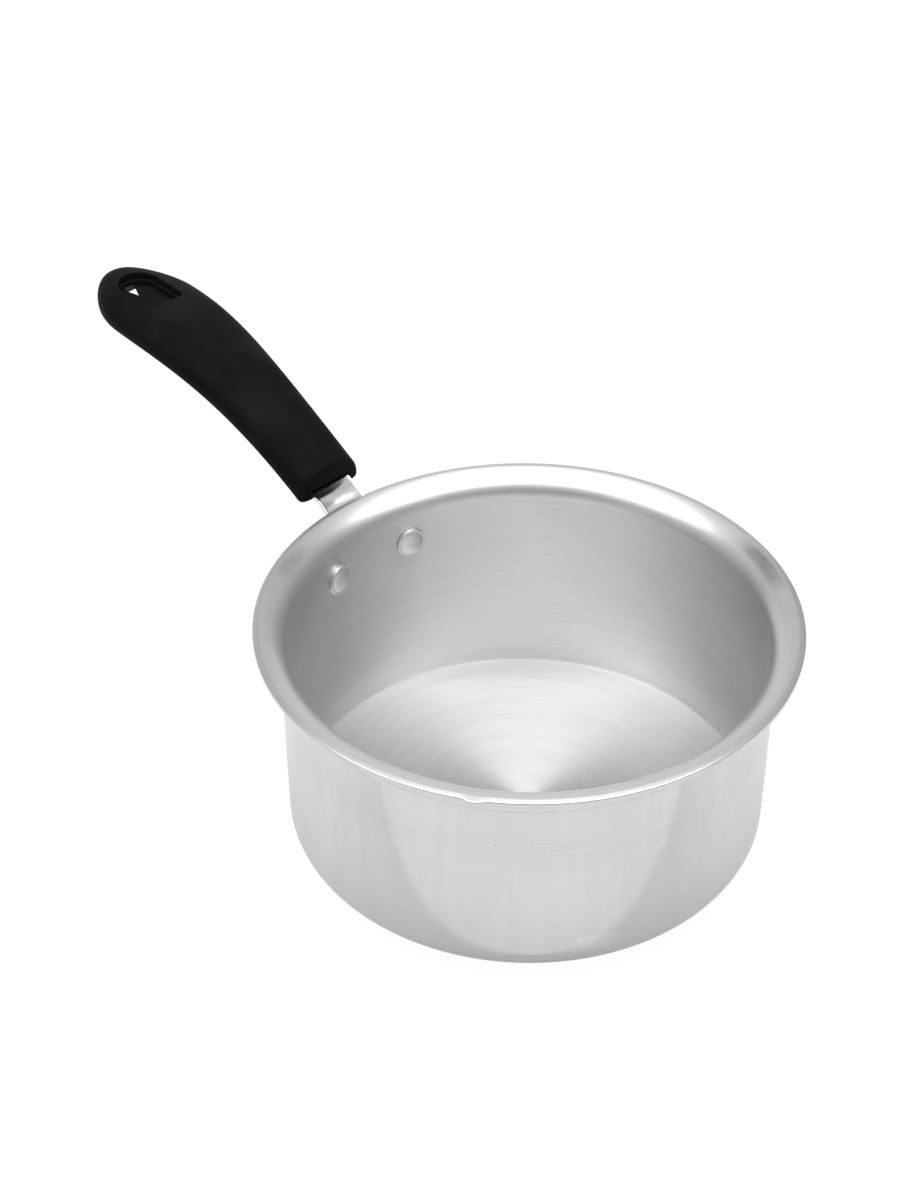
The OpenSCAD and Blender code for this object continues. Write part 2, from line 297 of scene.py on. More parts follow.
class NodeWriter:
    """Adds and links nodes in one node tree.

    Args:
        tree: Node tree to write in.
    """

    def __init__(self, tree: bpy.types.NodeTree) -> None:
        """Keeps the tree to write in."""
        self.tree = tree

    def add(self, kind: str, settings: dict | None = None, **sockets: object) -> bpy.types.Node:
        """Adds a node, sets its properties and fills its inputs.

        Args:
            kind: Node type, such as ShaderNodeMath.
            settings: Properties of the node.
            **sockets: Inputs by position, as s0, s1 and so on; each is a value or another node's output.

        Returns:
            The new node.
        """
        node = self.tree.nodes.new(kind)
        for key, value in (settings or {}).items():
            setattr(node, key, value)
        for key, value in sockets.items():
            self.fill(node.inputs[int(key[1:])], value)
        return node

    def fill(self, socket: bpy.types.NodeSocket, value: object) -> None:
        """Links an output into a socket, or sets the socket's own value."""
        if isinstance(value, bpy.types.NodeSocket):
            self.tree.links.new(value, socket)
        else:
            socket.default_value = value

    def math(self, operation: str, *values: object) -> bpy.types.NodeSocket:
        """Result of one Math node on the given values or outputs."""
        node = self.add("ShaderNodeMath", {"operation": operation})
        for socket, value in zip(node.inputs, values):
            self.fill(socket, value)
        return node.outputs[0]

    def product(self, *values: object) -> bpy.types.NodeSocket:
        """Product of two or more values or outputs."""
        result = values[0]
        for value in values[1:]:
            result = self.math("MULTIPLY", result, value)
        return result

    def weighed(self, first: object, share: object, second: object, other: object) -> bpy.types.NodeSocket:
        """Sum of two values, the first times share and the second times other."""
        return self.math("ADD", self.product(first, share), self.product(second, other))

    def spread(
        self, value: object, low: float, high: float, to_low: float = 0.0, to_high: float = 1.0,
    ) -> bpy.types.NodeSocket:
        """Clipped map of a value from the range low to high on to another range."""
        node = self.add(
            "ShaderNodeMapRange", {"clamp": True}, s0=value, s1=low, s2=high, s3=to_low, s4=to_high)
        return node.outputs[0]

    def noise(self, vector: object, pattern: Noise) -> bpy.types.NodeSocket:
        """Plain 3-D noise value of a vector."""
        node = self.add("ShaderNodeTexNoise", {"noise_dimensions": "3D"})
        self.fill(node.inputs["Vector"], vector)
        node.inputs["Scale"].default_value = pattern.scale
        node.inputs["Detail"].default_value = pattern.detail
        node.inputs["Roughness"].default_value = pattern.roughness
        return node.outputs[0]

    def split(self, vector: object) -> tuple[bpy.types.NodeSocket, ...]:
        """x, y and z of a vector."""
        return tuple(self.add("ShaderNodeSeparateXYZ", None, s0=vector).outputs)

    def reach(self, x: object, y: object) -> bpy.types.NodeSocket:
        """Distance from the Z axis: the root of x^2 + y^2."""
        return self.math("SQRT", self.weighed(x, x, y, y))

    def vector(self, x: object, y: object, z: object) -> bpy.types.NodeSocket:
        """Vector of three values or outputs."""
        return self.add("ShaderNodeCombineXYZ", None, s0=x, s1=y, s2=z).outputs[0]

    def place(self) -> bpy.types.NodeSocket:
        """Place on the piece: its Object coordinates."""
        return self.add("ShaderNodeTexCoord").outputs["Object"]

    def scaled_place(self, scale: object) -> list[bpy.types.NodeSocket]:
        """x, y and z of the place on the piece, each times a scale."""
        return [self.product(part, scale) for part in self.split(self.place())]


def start_group(name: str, inputs: dict[str, float], outputs: list[str]) -> tuple[NodeWriter, dict, dict]:
    """Starts a shared group of float inputs and outputs.

    Args:
        name: Name of the group.
        inputs: Name and first value of each input.
        outputs: Names of the outputs.

    Returns:
        The writer, the input sockets by name and the output sockets by name.
    """
    tree = bpy.data.node_groups.new(name, "ShaderNodeTree")
    for label, value in inputs.items():
        socket = tree.interface.new_socket(label, in_out="INPUT", socket_type="NodeSocketFloat")
        socket.default_value = value
    for label in outputs:
        tree.interface.new_socket(label, in_out="OUTPUT", socket_type="NodeSocketFloat")
    entry = tree.nodes.new("NodeGroupInput")
    leave = tree.nodes.new("NodeGroupOutput")
    return (
        NodeWriter(tree),
        {label: entry.outputs[label] for label in inputs},
        {label: leave.inputs[label] for label in outputs},
    )


# Least distance from the axis that is divided by, in metres, and the two noises of turned lines
AXIS_GUARD = 0.0005
FINE_LINES = Noise(1.0, 3.0, 0.65)
BROAD_LINES = Noise(1.0, 2.0, 0.6)
BROAD_DENSITY = 0.17


def turned_lines_group() -> bpy.types.NodeTree:
    """Lines left by turning: noise that is long round the pan's axis and short along the section.

    The noise is read at (k cos a, k sin a, d s), where a is the angle round the axis, s is the
    length along the section, k is Sweep and d is Density.

    Returns:
        The group, with outputs Fine and Broad from 0 to 1.
    """
    write, take, give = start_group(
        "turned_lines", {"Along": 0.0, "Density": 2000.0, "Sweep": 1.0}, ["Fine", "Broad"])
    x, y, _ = write.split(write.place())
    safe = write.math("MAXIMUM", write.reach(x, y), AXIS_GUARD)
    across = write.product(write.math("DIVIDE", x, safe), take["Sweep"])
    up = write.product(write.math("DIVIDE", y, safe), take["Sweep"])
    fine_way = write.product(take["Along"], take["Density"])
    broad_way = write.product(fine_way, BROAD_DENSITY)
    write.fill(give["Fine"], write.noise(write.vector(across, up, fine_way), FINE_LINES))
    write.fill(give["Broad"], write.noise(write.vector(across, up, broad_way), BROAD_LINES))
    return write.tree


# Noises of the marks. A spot or speck fades out over its edge, as shares of a cell, and is kept
# where its choice noise is high.
CLOUD_NOISE = Noise(28.0, 3.0, 0.55)
WIPE_NOISE = Noise(210.0, 5.0, 0.6)
WIPE_STRETCH = 0.08
CELL_SCALE = 95.0
SPOT_EDGE = (0.03, 0.09)
SPOT_CHOICE = Noise(60.0, 1.0)
SPOT_KEPT = (0.56, 0.62)
SPECK_EDGE = (0.018, 0.035)
SPECK_CHOICE = Noise(37.0, 1.0)
SPECK_KEPT = (0.50, 0.53)


def handling_group() -> bpy.types.NodeTree:
    """Faint marks of handling: soft clouds, upright wipes, small spots and tiny dark specks.

    Clouds are low noise of the place. Wipes are noise that is long along Z. Spots are the near
    centres of a cell pattern, kept only where another noise is high. Specks are much smaller
    centres of the same cells.

    Returns:
        The group, with outputs Clouds, Wipes, Spots and Specks from 0 to 1.
    """
    write, take, give = start_group("handling", {"Scale": 1.0}, ["Clouds", "Wipes", "Spots", "Specks"])
    x, y, z = write.scaled_place(take["Scale"])
    place = write.vector(x, y, z)
    tall = write.vector(x, y, write.product(z, WIPE_STRETCH))
    write.fill(give["Clouds"], write.noise(place, CLOUD_NOISE))
    write.fill(give["Wipes"], write.noise(tall, WIPE_NOISE))
    cells = write.add("ShaderNodeTexVoronoi", {"feature": "F1"})
    write.fill(cells.inputs["Vector"], place)
    cells.inputs["Scale"].default_value = CELL_SCALE
    for name, edge, choice, kept in (
        ("Spots", SPOT_EDGE, SPOT_CHOICE, SPOT_KEPT),
        ("Specks", SPECK_EDGE, SPECK_CHOICE, SPECK_KEPT),
    ):
        near = write.spread(cells.outputs["Distance"], *edge, to_low=1.0, to_high=0.0)
        chosen = write.spread(write.noise(place, choice), *kept)
        write.fill(give[name], write.product(near, chosen))
    return write.tree


# Noises of the grain, and the share of the small one in its height
SMALL_GRAIN = Noise(1.0, 2.0, 0.6)
LARGE_GRAIN = Noise(0.3, 2.0, 0.5)
PATCH_NOISE = Noise(0.03, 3.0, 0.6)
SMALL_SHARE = 0.65


def grain_group() -> bpy.types.NodeTree:
    """Fine even grain of a moulded or tumbled face: two sizes of noise of the place.

    Returns:
        The group, with outputs Height and Patches from 0 to 1.
    """
    write, take, give = start_group("grain", {"Scale": 3000.0}, ["Height", "Patches"])
    place = write.vector(*write.scaled_place(take["Scale"]))
    small, large = write.noise(place, SMALL_GRAIN), write.noise(place, LARGE_GRAIN)
    write.fill(give["Height"], write.weighed(small, SMALL_SHARE, large, 1.0 - SMALL_SHARE))
    write.fill(give["Patches"], write.noise(place, PATCH_NOISE))
    return write.tree


@dataclass(frozen=True)
class Shaders:
    """The shared node groups, built once."""

    turned: bpy.types.NodeTree
    handling: bpy.types.NodeTree
    grain: bpy.types.NodeTree


class MaterialWriter(NodeWriter):
    """Writes one material round its own Principled shader.

    Args:
        name: Name of the material.
    """

    def __init__(self, name: str) -> None:
        """Makes the material and keeps its Principled shader."""
        self.material = bpy.data.materials.new(name)
        self.material.use_nodes = True
        super().__init__(self.material.node_tree)
        self.shader = self.tree.nodes["Principled BSDF"]

    def set(self, **values: object) -> None:
        """Sets or links inputs of the shader by name, with _ for a space."""
        for key, value in values.items():
            self.fill(self.shader.inputs[key.replace("_", " ")], value)

    def group(self, tree: bpy.types.NodeTree, **values: object) -> bpy.types.Node:
        """Places a shared group with its own values."""
        node = self.add("ShaderNodeGroup", {"node_tree": tree})
        for key, value in values.items():
            self.fill(node.inputs[key], value)
        return node

    def blend(self, share: object, first: tuple, second: tuple) -> bpy.types.NodeSocket:
        """Colour between two colours by a share from 0 to 1."""
        node = self.add("ShaderNodeMix", {"data_type": "RGBA"})
        self.fill(node.inputs["Factor"], share)
        for socket, colour in ((node.inputs[6], first), (node.inputs[7], second)):
            self.fill(socket, (*colour, 1.0) if isinstance(colour, tuple) else colour)
        return node.outputs[2]

    def relief(self, height: object, depth: float) -> bpy.types.NodeSocket:
        """Normal of a bump with the given depth in metres at full height."""
        node = self.add("ShaderNodeBump")
        node.inputs["Strength"].default_value = 1.0
        node.inputs["Distance"].default_value = depth
        self.fill(node.inputs["Height"], height)
        return node.outputs[0]

    def stretch_shine(self, amount: float) -> None:
        """Stretches the shine across the turning lines, along the turning map's direction."""
        self.shader.inputs["Anisotropic"].default_value = amount
        along = self.add("ShaderNodeTangent", {"direction_type": "UV_MAP", "uv_map": TURNING_UV})
        self.fill(self.shader.inputs["Tangent"], along.outputs[0])


# Finishes

# Range in which nearly all of a noise's values lie
USUAL = (0.3, 0.7)


@dataclass(frozen=True)
class PaintedReflection:
    """A ragged patch on the pan, at an angle round its axis and between two radii or heights.

    The patch is painted reflection, dark or light. It starts and is full at the shares in window of its half
    angle. Its edge is ragged by a noise, and fray_from gives the sums of edge and noise at which it starts
    and would be full.
    """

    angle: float
    half_angle: float
    share: float
    low: float = 0.0815
    high: float = 0.0893
    soft: float = 0.0025
    across: Across = Across.OUT
    window: tuple[float, float] = (1.5, 0.2)
    ragged: Noise = Noise(240.0, 4.0, 0.65)
    fray_from: tuple[float, float] = (0.65, 1.65)
    colour: Colour = (0.30, 0.30, 0.295)

    def mask(self, write: MaterialWriter) -> bpy.types.NodeSocket:
        """Share of the patch at a place, from 0 to share.

        The cosine of the angle to the patch is (x cos a + y sin a) / r. It and the radius r, or the
        height, are each turned into a soft window, and a noise makes the windows' product ragged.

        Args:
            write: Writer of the material that the patch is on.

        Returns:
            The share.
        """
        turn = math.radians(self.angle)
        place = write.place()
        x, y, z = write.split(place)
        radius = write.reach(x, y)
        along = write.weighed(x, math.cos(turn), y, math.sin(turn))
        cosine = write.math("DIVIDE", along, write.math("MAXIMUM", radius, AXIS_GUARD))
        start, full = (math.cos(math.radians(self.half_angle * part)) for part in self.window)
        turned = write.spread(cosine, start, full)
        width_way = radius if self.across is Across.OUT else z
        inner = write.spread(width_way, self.low, self.low + self.soft)
        outer = write.spread(width_way, self.high - self.soft, self.high, to_low=1.0, to_high=0.0)
        edge = write.product(turned, inner, outer)
        ragged = write.noise(place, self.ragged)
        # Share of painted reflection, frayed at the patch's ragged edge
        frayed = write.spread(write.math("ADD", edge, ragged), *self.fray_from)
        return write.product(frayed, edge, self.share)


@dataclass(frozen=True)
class SatinAluminium:
    """Outside of the pan: satin sheet with faint turning lines, wipes, clouds and dark specks."""

    colour: Colour = (0.765, 0.765, 0.76)
    dull_colour: Colour = (0.655, 0.655, 0.65)
    speck_colour: Colour = (0.25, 0.25, 0.245)
    roughness: float = 0.10
    roughness_gain: float = 0.04
    anisotropy: float = 0.3
    line_density: float = 3000.0
    line_depth: float = 0.000004
    line_sweep: float = 3.0
    cloud_share: float = 0.25
    wipe_share: float = 0.25
    fine_share: float = 0.2
    broad_share: float = 0.06
    spot_share: float = 0.8
    band_share: float = 0.4
    band_z: tuple[float, float, float] = (0.044, 0.055, 0.064)
    # Painted highlight: a light ragged patch low on the front of the wall, right of the middle
    painted_highlight: PaintedReflection = PaintedReflection(
        152.8, 5.0, 0.5, low=0.008, high=0.0175, across=Across.UP,
        ragged=Noise(500.0, 4.0, 0.65), colour=(0.92, 0.92, 0.915))

    def material(self, shaders: Shaders) -> bpy.types.Material:
        """Builds the material from the shared groups."""
        write = MaterialWriter("satin_aluminium")
        along = write.add("ShaderNodeAttribute", {"attribute_name": LENGTH_NAME}).outputs["Fac"]
        lines = write.group(shaders.turned, Along=along, Density=self.line_density, Sweep=self.line_sweep)
        marks = write.group(shaders.handling, Scale=1.0)
        fine = write.spread(lines.outputs["Fine"], *USUAL)
        parts = (
            (write.spread(marks.outputs["Clouds"], *USUAL), self.cloud_share),
            (write.spread(marks.outputs["Wipes"], low=0.35, high=0.7), self.wipe_share),
            (fine, self.fine_share),
            (write.spread(lines.outputs["Broad"], low=0.35, high=0.65), self.broad_share),
            (write.product(fine, self.rubbed_band(write)), self.band_share),
        )
        dull = 0.0
        for value, share in parts:
            dull = write.math("ADD", write.product(value, share), dull)
        dull = write.math("MAXIMUM", dull, write.product(marks.outputs["Spots"], self.spot_share))
        rough = write.math("ADD", write.product(dull, self.roughness_gain), self.roughness)
        plain = write.blend(dull, self.colour, self.dull_colour)
        # Painted highlight laid over the plain colour
        plain = write.blend(self.painted_highlight.mask(write), plain, self.painted_highlight.colour)
        write.set(
            Metallic=1.0, Base_Color=write.blend(marks.outputs["Specks"], plain, self.speck_colour),
            Roughness=rough, Normal=write.relief(lines.outputs["Fine"], self.line_depth))
        write.stretch_shine(self.anisotropy)
        return write.material

    def rubbed_band(self, write: MaterialWriter) -> bpy.types.NodeSocket:
        """Share of a soft level band of rubbing, 1 at its middle height and 0 above and below."""
        low, middle, high = self.band_z
        z = write.split(write.place())[2]
        return write.product(
            write.spread(z, low, middle), write.spread(z, middle, high, to_low=1.0, to_high=0.0))


@dataclass(frozen=True)
class TurnedAluminium:
    """Turned sheet: fine and broad lines round the pan's axis, with faint clouds over them."""

    name: str
    colour: Colour = (0.925, 0.925, 0.92)
    line_colour: Colour = (0.815, 0.815, 0.81)
    roughness: float = 0.33
    roughness_gain: float = 0.05
    anisotropy: float = 0.90
    density: float = 2400.0
    sweep: float = 2.2
    line_depth: float = 0.000008
    fine_share: float = 0.65
    cloud_share: float = 0.3
    # Painted reflections laid over the colour
    painted_reflections: tuple[PaintedReflection, ...] = ()

    def material(self, shaders: Shaders) -> bpy.types.Material:
        """Builds the material from the shared groups."""
        write = MaterialWriter(self.name)
        along = write.add("ShaderNodeAttribute", {"attribute_name": LENGTH_NAME}).outputs["Fac"]
        turned = write.group(shaders.turned, Along=along, Density=self.density, Sweep=self.sweep)
        marks = write.group(shaders.handling, Scale=1.0)
        fine = write.spread(turned.outputs["Fine"], *USUAL)
        broad = write.spread(turned.outputs["Broad"], *USUAL)
        lines = write.weighed(fine, self.fine_share, broad, 1.0 - self.fine_share)
        cloud = write.spread(marks.outputs["Clouds"], *USUAL, to_high=self.cloud_share)
        dull = write.math("ADD", write.product(lines, 1.0 - self.cloud_share), cloud)
        rough = write.math("ADD", write.product(lines, self.roughness_gain), self.roughness)
        colour = write.blend(dull, self.colour, self.line_colour)
        # Painted reflections: dark or light patches blended over the colour
        for painted_patch in self.painted_reflections:
            colour = write.blend(painted_patch.mask(write), colour, painted_patch.colour)
        write.set(
            Metallic=1.0, Base_Color=colour, Roughness=rough,
            Normal=write.relief(turned.outputs["Fine"], self.line_depth))
        write.stretch_shine(self.anisotropy)
        return write.material


@dataclass(frozen=True)
class TumbledSheet:
    """Bright sheet that was tumbled: soft waves, dull patches and small pits."""

    name: str
    colour: Colour = (0.88, 0.88, 0.87)
    dull_colour: Colour = (0.72, 0.72, 0.71)
    roughness: float = 0.10
    roughness_gain: float = 0.12
    patch_scale: float = 2600.0
    patch_edge: tuple[float, float] = (0.42, 0.66)
    mark_scale: float = 3.0
    wave_depth: float = 0.00007
    patch_rise: float = 0.8
    pit_rise: float = -0.2

    def material(self, shaders: Shaders) -> bpy.types.Material:
        """Builds the material from the shared groups."""
        write = MaterialWriter(self.name)
        grain = write.group(shaders.grain, Scale=self.patch_scale)
        pits = write.group(shaders.handling, Scale=self.mark_scale).outputs["Spots"]
        patches = grain.outputs["Patches"]
        dull = write.math("MAXIMUM", write.spread(patches, *self.patch_edge), pits)
        rough = write.math("ADD", write.product(dull, self.roughness_gain), self.roughness)
        wave = write.weighed(patches, self.patch_rise, pits, self.pit_rise)
        write.set(
            Metallic=1.0, Base_Color=write.blend(dull, self.colour, self.dull_colour),
            Roughness=rough, Normal=write.relief(wave, self.wave_depth))
        return write.material


@dataclass(frozen=True)
class MouldedGrip:
    """Black moulded plastic: fine matte grain, slightly shinier where it is handled."""

    colour: Colour = (0.005, 0.005, 0.005)
    worn_colour: Colour = (0.0105, 0.0105, 0.0105)
    refraction: float = 1.12
    roughness: float = 0.5
    roughness_gain: float = 0.12
    handled_gain: float = 0.04
    mark_scale: float = 1.6
    grain_scale: float = 3600.0
    grain_depth: float = 0.00003

    def material(self, shaders: Shaders) -> bpy.types.Material:
        """Builds the material from the shared groups."""
        write = MaterialWriter("moulded_grip")
        grain = write.group(shaders.grain, Scale=self.grain_scale)
        marks = write.group(shaders.handling, Scale=self.mark_scale)
        handled = write.spread(marks.outputs["Clouds"], low=0.35, high=0.65)
        uneven = write.product(grain.outputs["Height"], self.roughness_gain)
        rough = write.math(
            "SUBTRACT", write.math("ADD", uneven, self.roughness), write.product(handled, self.handled_gain))
        write.set(
            Metallic=0.0, Base_Color=write.blend(handled, self.colour, self.worn_colour),
            Roughness=rough, Normal=write.relief(grain.outputs["Height"], self.grain_depth))
        write.shader.inputs["IOR"].default_value = self.refraction
        return write.material


# Pieces


@dataclass
class PanShell:
    """The pan: one turned sheet with floor, wall, an oval flare and the lip's narrow outer band.

    Its half section runs out along the base, up the outside, round the lip's edge, back over the
    lip, down the inside and in along the floor.
    """

    inner_r: float = INNER_R
    wall_t: float = 2.0
    floor_t: float = 3.2
    height: float = 82.5
    corner_r: float = 10.0
    inner_corner_r: float = 1.6
    corner_guard: float = 0.3
    floor_finish_share: float = 0.35
    draw_in: float = 0.6
    straight_z: float = 46.7
    flare_reach: float = 12.0
    flare_rise: float = 8.0
    crest_in: float = 1.9
    rim_r: float = RIM_R
    rim_fall: float = 0.18
    lip_round: float = 0.5
    groove_z: float = 70.8
    groove_depth: float = 0.13
    groove_half_w: float = 0.4
    groove_rows_half: float = 0.6
    burr_angle: float = 126.9
    burr_half_angle: float = 3.2
    burr_rise: float = 1.3
    burr_top: float = -0.5
    burr_reach: float = 3.0
    segments: int = 360
    pieces: list[bpy.types.Object] = field(default_factory=list)

    @property
    def outer_r(self) -> float:
        """Radius of the wall's outside."""
        return self.inner_r + self.wall_t

    @property
    def base_r(self) -> float:
        """Radius where the outside corner starts."""
        return self.outer_r - self.draw_in

    @property
    def crest_r(self) -> float:
        """Radius of the lip's highest ring."""
        return self.rim_r - self.crest_in

    @property
    def flare_centre(self) -> tuple[float, float]:
        """Centre of the flare's oval, set so that the oval passes through the crest."""
        radius = self.inner_r + self.flare_reach
        share = (radius - self.crest_r) / self.flare_reach
        return radius, self.height - self.flare_rise * math.sqrt(1.0 - share ** 2)

    def flare(self, inset: float, steps: int) -> Array:
        """Oval curve from the wall to the crest: centre + (-a sin t, b cos t), drawn in by inset.

        Args:
            inset: How far both half axes a and b are shortened, 0 for the upper face.
            steps: Number of steps along the curve.

        Returns:
            Points (r, z) from the wall, where t is a right angle, to the crest.
        """
        centre_r, centre_z = self.flare_centre
        reach, rise = self.flare_reach - inset, self.flare_rise - inset
        end = math.asin((centre_r - self.crest_r) / reach)
        turn = np.linspace(np.pi / 2.0, end, steps + 1)
        return np.stack([centre_r - reach * np.sin(turn), centre_z + rise * np.cos(turn)], axis=1)

    def outside(self) -> Array:
        """Section of the outside: base, corner, wall with its fine groove, and flare under the lip.

        The wall is cut in by groove_depth * (1 - distance / groove_half_w) round the groove's middle,
        and has closer rows there.

        Returns:
            Points (r, z), from near the axis to the lip's lower edge.
        """
        corner_x = self.base_r - self.corner_r
        even = np.linspace(self.straight_z, self.flare_centre[1], 22)[1:-1]
        near = self.groove_z + np.linspace(-self.groove_rows_half, self.groove_rows_half, 13)
        heights = np.unique(np.concatenate([even, near]))
        share = np.clip(1.0 - np.abs(heights - self.groove_z) / self.groove_half_w, 0.0, 1.0)
        wall = np.stack([self.outer_r - self.groove_depth * share, heights], axis=1)
        low_z = self.height - self.wall_t - self.rim_fall
        edge_r = self.rim_r - self.lip_round
        under = self.flare(self.wall_t, steps=16)
        return np.concatenate([
            line((0.0, 0.0), (corner_x, 0.0), steps=8),
            arc((corner_x, self.corner_r), self.corner_r, -90, 0, steps=22),
            line((self.base_r, self.corner_r), (self.outer_r, self.straight_z), steps=20),
            [[self.outer_r, self.straight_z]],
            wall,
            under,
            line(tuple(under[-1]), (edge_r, low_z), steps=4),
            arc((edge_r, low_z + self.lip_round), self.lip_round, -90, 0, steps=6),
        ])

    def inside(self) -> Array:
        """Section of the inside: the lip's edge and outer band, flare, wall, corner and floor.

        Returns:
            Points (r, z), from the lip's upper edge to near the axis.
        """
        corner_x = self.base_r - self.wall_t - self.inner_corner_r
        corner_z = self.floor_t + self.inner_corner_r
        edge_r, top_z = self.rim_r - self.lip_round, self.height - self.rim_fall
        flare = self.flare(0.0, steps=32)[::-1]
        wall_foot = (corner_x + self.inner_corner_r, corner_z + self.corner_guard)
        floor_edge = (corner_x - self.corner_guard, self.floor_t)
        return np.concatenate([
            arc((edge_r, top_z - self.lip_round), self.lip_round, 0, 75, steps=6),
            line((edge_r, top_z), (self.crest_r, self.height), steps=8),
            flare,
            line(tuple(flare[-1]), (self.inner_r, self.straight_z), steps=8),
            [[self.inner_r, self.straight_z]],
            line((self.inner_r, self.straight_z), wall_foot, steps=8),
            [wall_foot],
            arc((corner_x, corner_z), self.inner_corner_r, 0, -90, steps=14),
            [floor_edge],
            line(floor_edge, (0.0, self.floor_t), steps=24),
        ])

    def build(self) -> None:
        """Turns the section, adds a small burr on the lip, and maps turning direction and zones."""
        outside, inside = self.outside(), self.inside()
        section = np.concatenate([outside, inside])
        rings = self.with_burr(lathe_rings(section, segments=self.segments), section)
        first, last = np.zeros(3), np.array([0.0, 0.0, self.floor_t])
        shell = closed_skin("pan_shell", rings, first, last)
        self.map_turning(shell, path_length(np.concatenate([[first[1:]], section, [last[1:]]])))
        self.map_zones(shell, section, len(outside))
        self.pieces = [shell]

    def map_zones(self, shell: bpy.types.Object, section: Array, outside_rows: int) -> None:
        """Gives each ring of faces the zone of its middle, and the poles' faces base and floor.

        Args:
            shell: The shell's object.
            section: Half section that it was turned from.
            outside_rows: Number of the section's points that are on the outside.
        """
        middle = (section[:-1] + section[1:]) / 2.0
        floor_z = self.floor_t + self.floor_finish_share * self.inner_corner_r
        radius, height = middle.T
        outer = np.arange(len(middle)) < outside_rows
        zone = np.select(
            [outer, height < floor_z, radius > self.crest_r, height > self.flare_centre[1]],
            [Zone.OUTSIDE.value, Zone.FLOOR.value, Zone.BAND.value, Zone.LIP.value], Zone.WALL.value)
        poles = np.repeat([Zone.OUTSIDE.value, Zone.FLOOR.value], self.segments)
        index = np.concatenate([np.repeat(zone, self.segments), poles])
        shell.data.polygons.foreach_set("material_index", index.astype(np.int32))

    def with_burr(self, rings: Array, section: Array) -> Array:
        """Pushes the lip's edge out a little over a short arc, where the sheet was trimmed.

        Along the edge the push climbs over the first quarter of the burr, to burr_top, and falls
        softly over the rest. It grows from 0 to its full height over the last burr_reach of the lip.

        Args:
            rings: Points of the shell.
            section: Half section that they were turned from.

        Returns:
            The points with the burr.
        """
        angle = np.degrees(np.linspace(0.0, 2.0 * np.pi, self.segments, endpoint=False))
        way = np.clip((angle - self.burr_angle) / self.burr_half_angle, -1.0, 1.0)
        climb = smooth_step(way, -1.0, self.burr_top) * (1.0 - smooth_step(way, self.burr_top, 1.0))
        share = smooth_step(section[:, 0], self.rim_r - self.burr_reach, self.rim_r)
        push = self.burr_rise * share[:, None] * climb[None, :]
        result = rings.copy()
        result[..., :2] *= (1.0 + push / section[:, :1])[..., None]
        return result

    def map_turning(self, shell: bpy.types.Object, lengths: Array) -> None:
        """Stores the length along the section, and a UV map with u along it and v round the axis.

        Args:
            shell: The shell's object.
            lengths: Length at the first pole, at each ring and at the last pole, in millimetres.
        """
        rows = len(lengths) - 2
        columns = self.segments
        on_points = np.concatenate([np.repeat(lengths[1:-1], columns), lengths[[0, -1]]]) * MM
        store = shell.data.attributes.new(LENGTH_NAME, "FLOAT", "POINT")
        store.data.foreach_set("value", on_points.astype(np.float32))
        along = lengths / lengths[-1]
        round_way = np.arange(columns) / columns
        step = 1.0 / columns
        low, high = np.meshgrid(along[1:-2], round_way, indexing="ij")
        next_low = np.broadcast_to(along[2:-1, None], (rows - 1, columns))
        quads = np.stack([
            np.stack([low, high], axis=-1),
            np.stack([low, high + step], axis=-1),
            np.stack([next_low, high + step], axis=-1),
            np.stack([next_low, high], axis=-1),
        ], axis=2).reshape(-1, 2)
        first = self.fan_uv(along[1], along[0], round_way + step, round_way)
        last = self.fan_uv(along[-2], along[-1], round_way, round_way + step)
        layer = shell.data.uv_layers.new(name=TURNING_UV)
        layer.data.foreach_set("uv", np.concatenate([quads, first, last]).ravel())

    @staticmethod
    def fan_uv(ring: float, pole: float, start: Array, end: Array) -> Array:
        """UV corners of the faces that close a ring to a pole."""
        columns = len(start)
        corners = np.stack([
            np.stack([np.full(columns, ring), start], axis=-1),
            np.stack([np.full(columns, ring), end], axis=-1),
            np.stack([np.full(columns, pole), (start + end) / 2.0], axis=-1),
        ], axis=1)
        return corners.reshape(-1, 2)

    def dress(self, shaders: Shaders) -> None:
        """Gives each zone of the shell its finish and stands the shell for the CAD node."""
        shell = self.pieces[0]
        finishes = {
            Zone.OUTSIDE: SatinAluminium(),
            Zone.WALL: TurnedAluminium("turned_wall"),
            Zone.FLOOR: TurnedAluminium(
                "turned_floor", colour=(0.79, 0.79, 0.785), line_colour=(0.66, 0.66, 0.655),
                roughness=0.56, anisotropy=0.74, density=1700.0, sweep=0.8, line_depth=0.000010),
            Zone.LIP: TurnedAluminium(
                "turned_lip", colour=(0.96, 0.96, 0.955), line_colour=(0.78, 0.78, 0.775),
                roughness=0.31, anisotropy=0.62, density=1700.0, sweep=0.7, line_depth=0.000011,
                # Painted reflections: dark patches on the lip's left and right sides
                painted_reflections=(PaintedReflection(250.0, 9.0, 0.8), PaintedReflection(26.0, 6.0, 0.4))),
            Zone.BAND: TurnedAluminium(
                "turned_band", colour=(0.86, 0.86, 0.855), line_colour=(0.70, 0.70, 0.695),
                roughness=0.31, anisotropy=0.62, density=2400.0, sweep=0.7, line_depth=0.000011),
        }
        for zone in Zone:
            shell.data.materials.append(finishes[zone].material(shaders))
        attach(shell, BODY)
        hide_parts("pan_body")


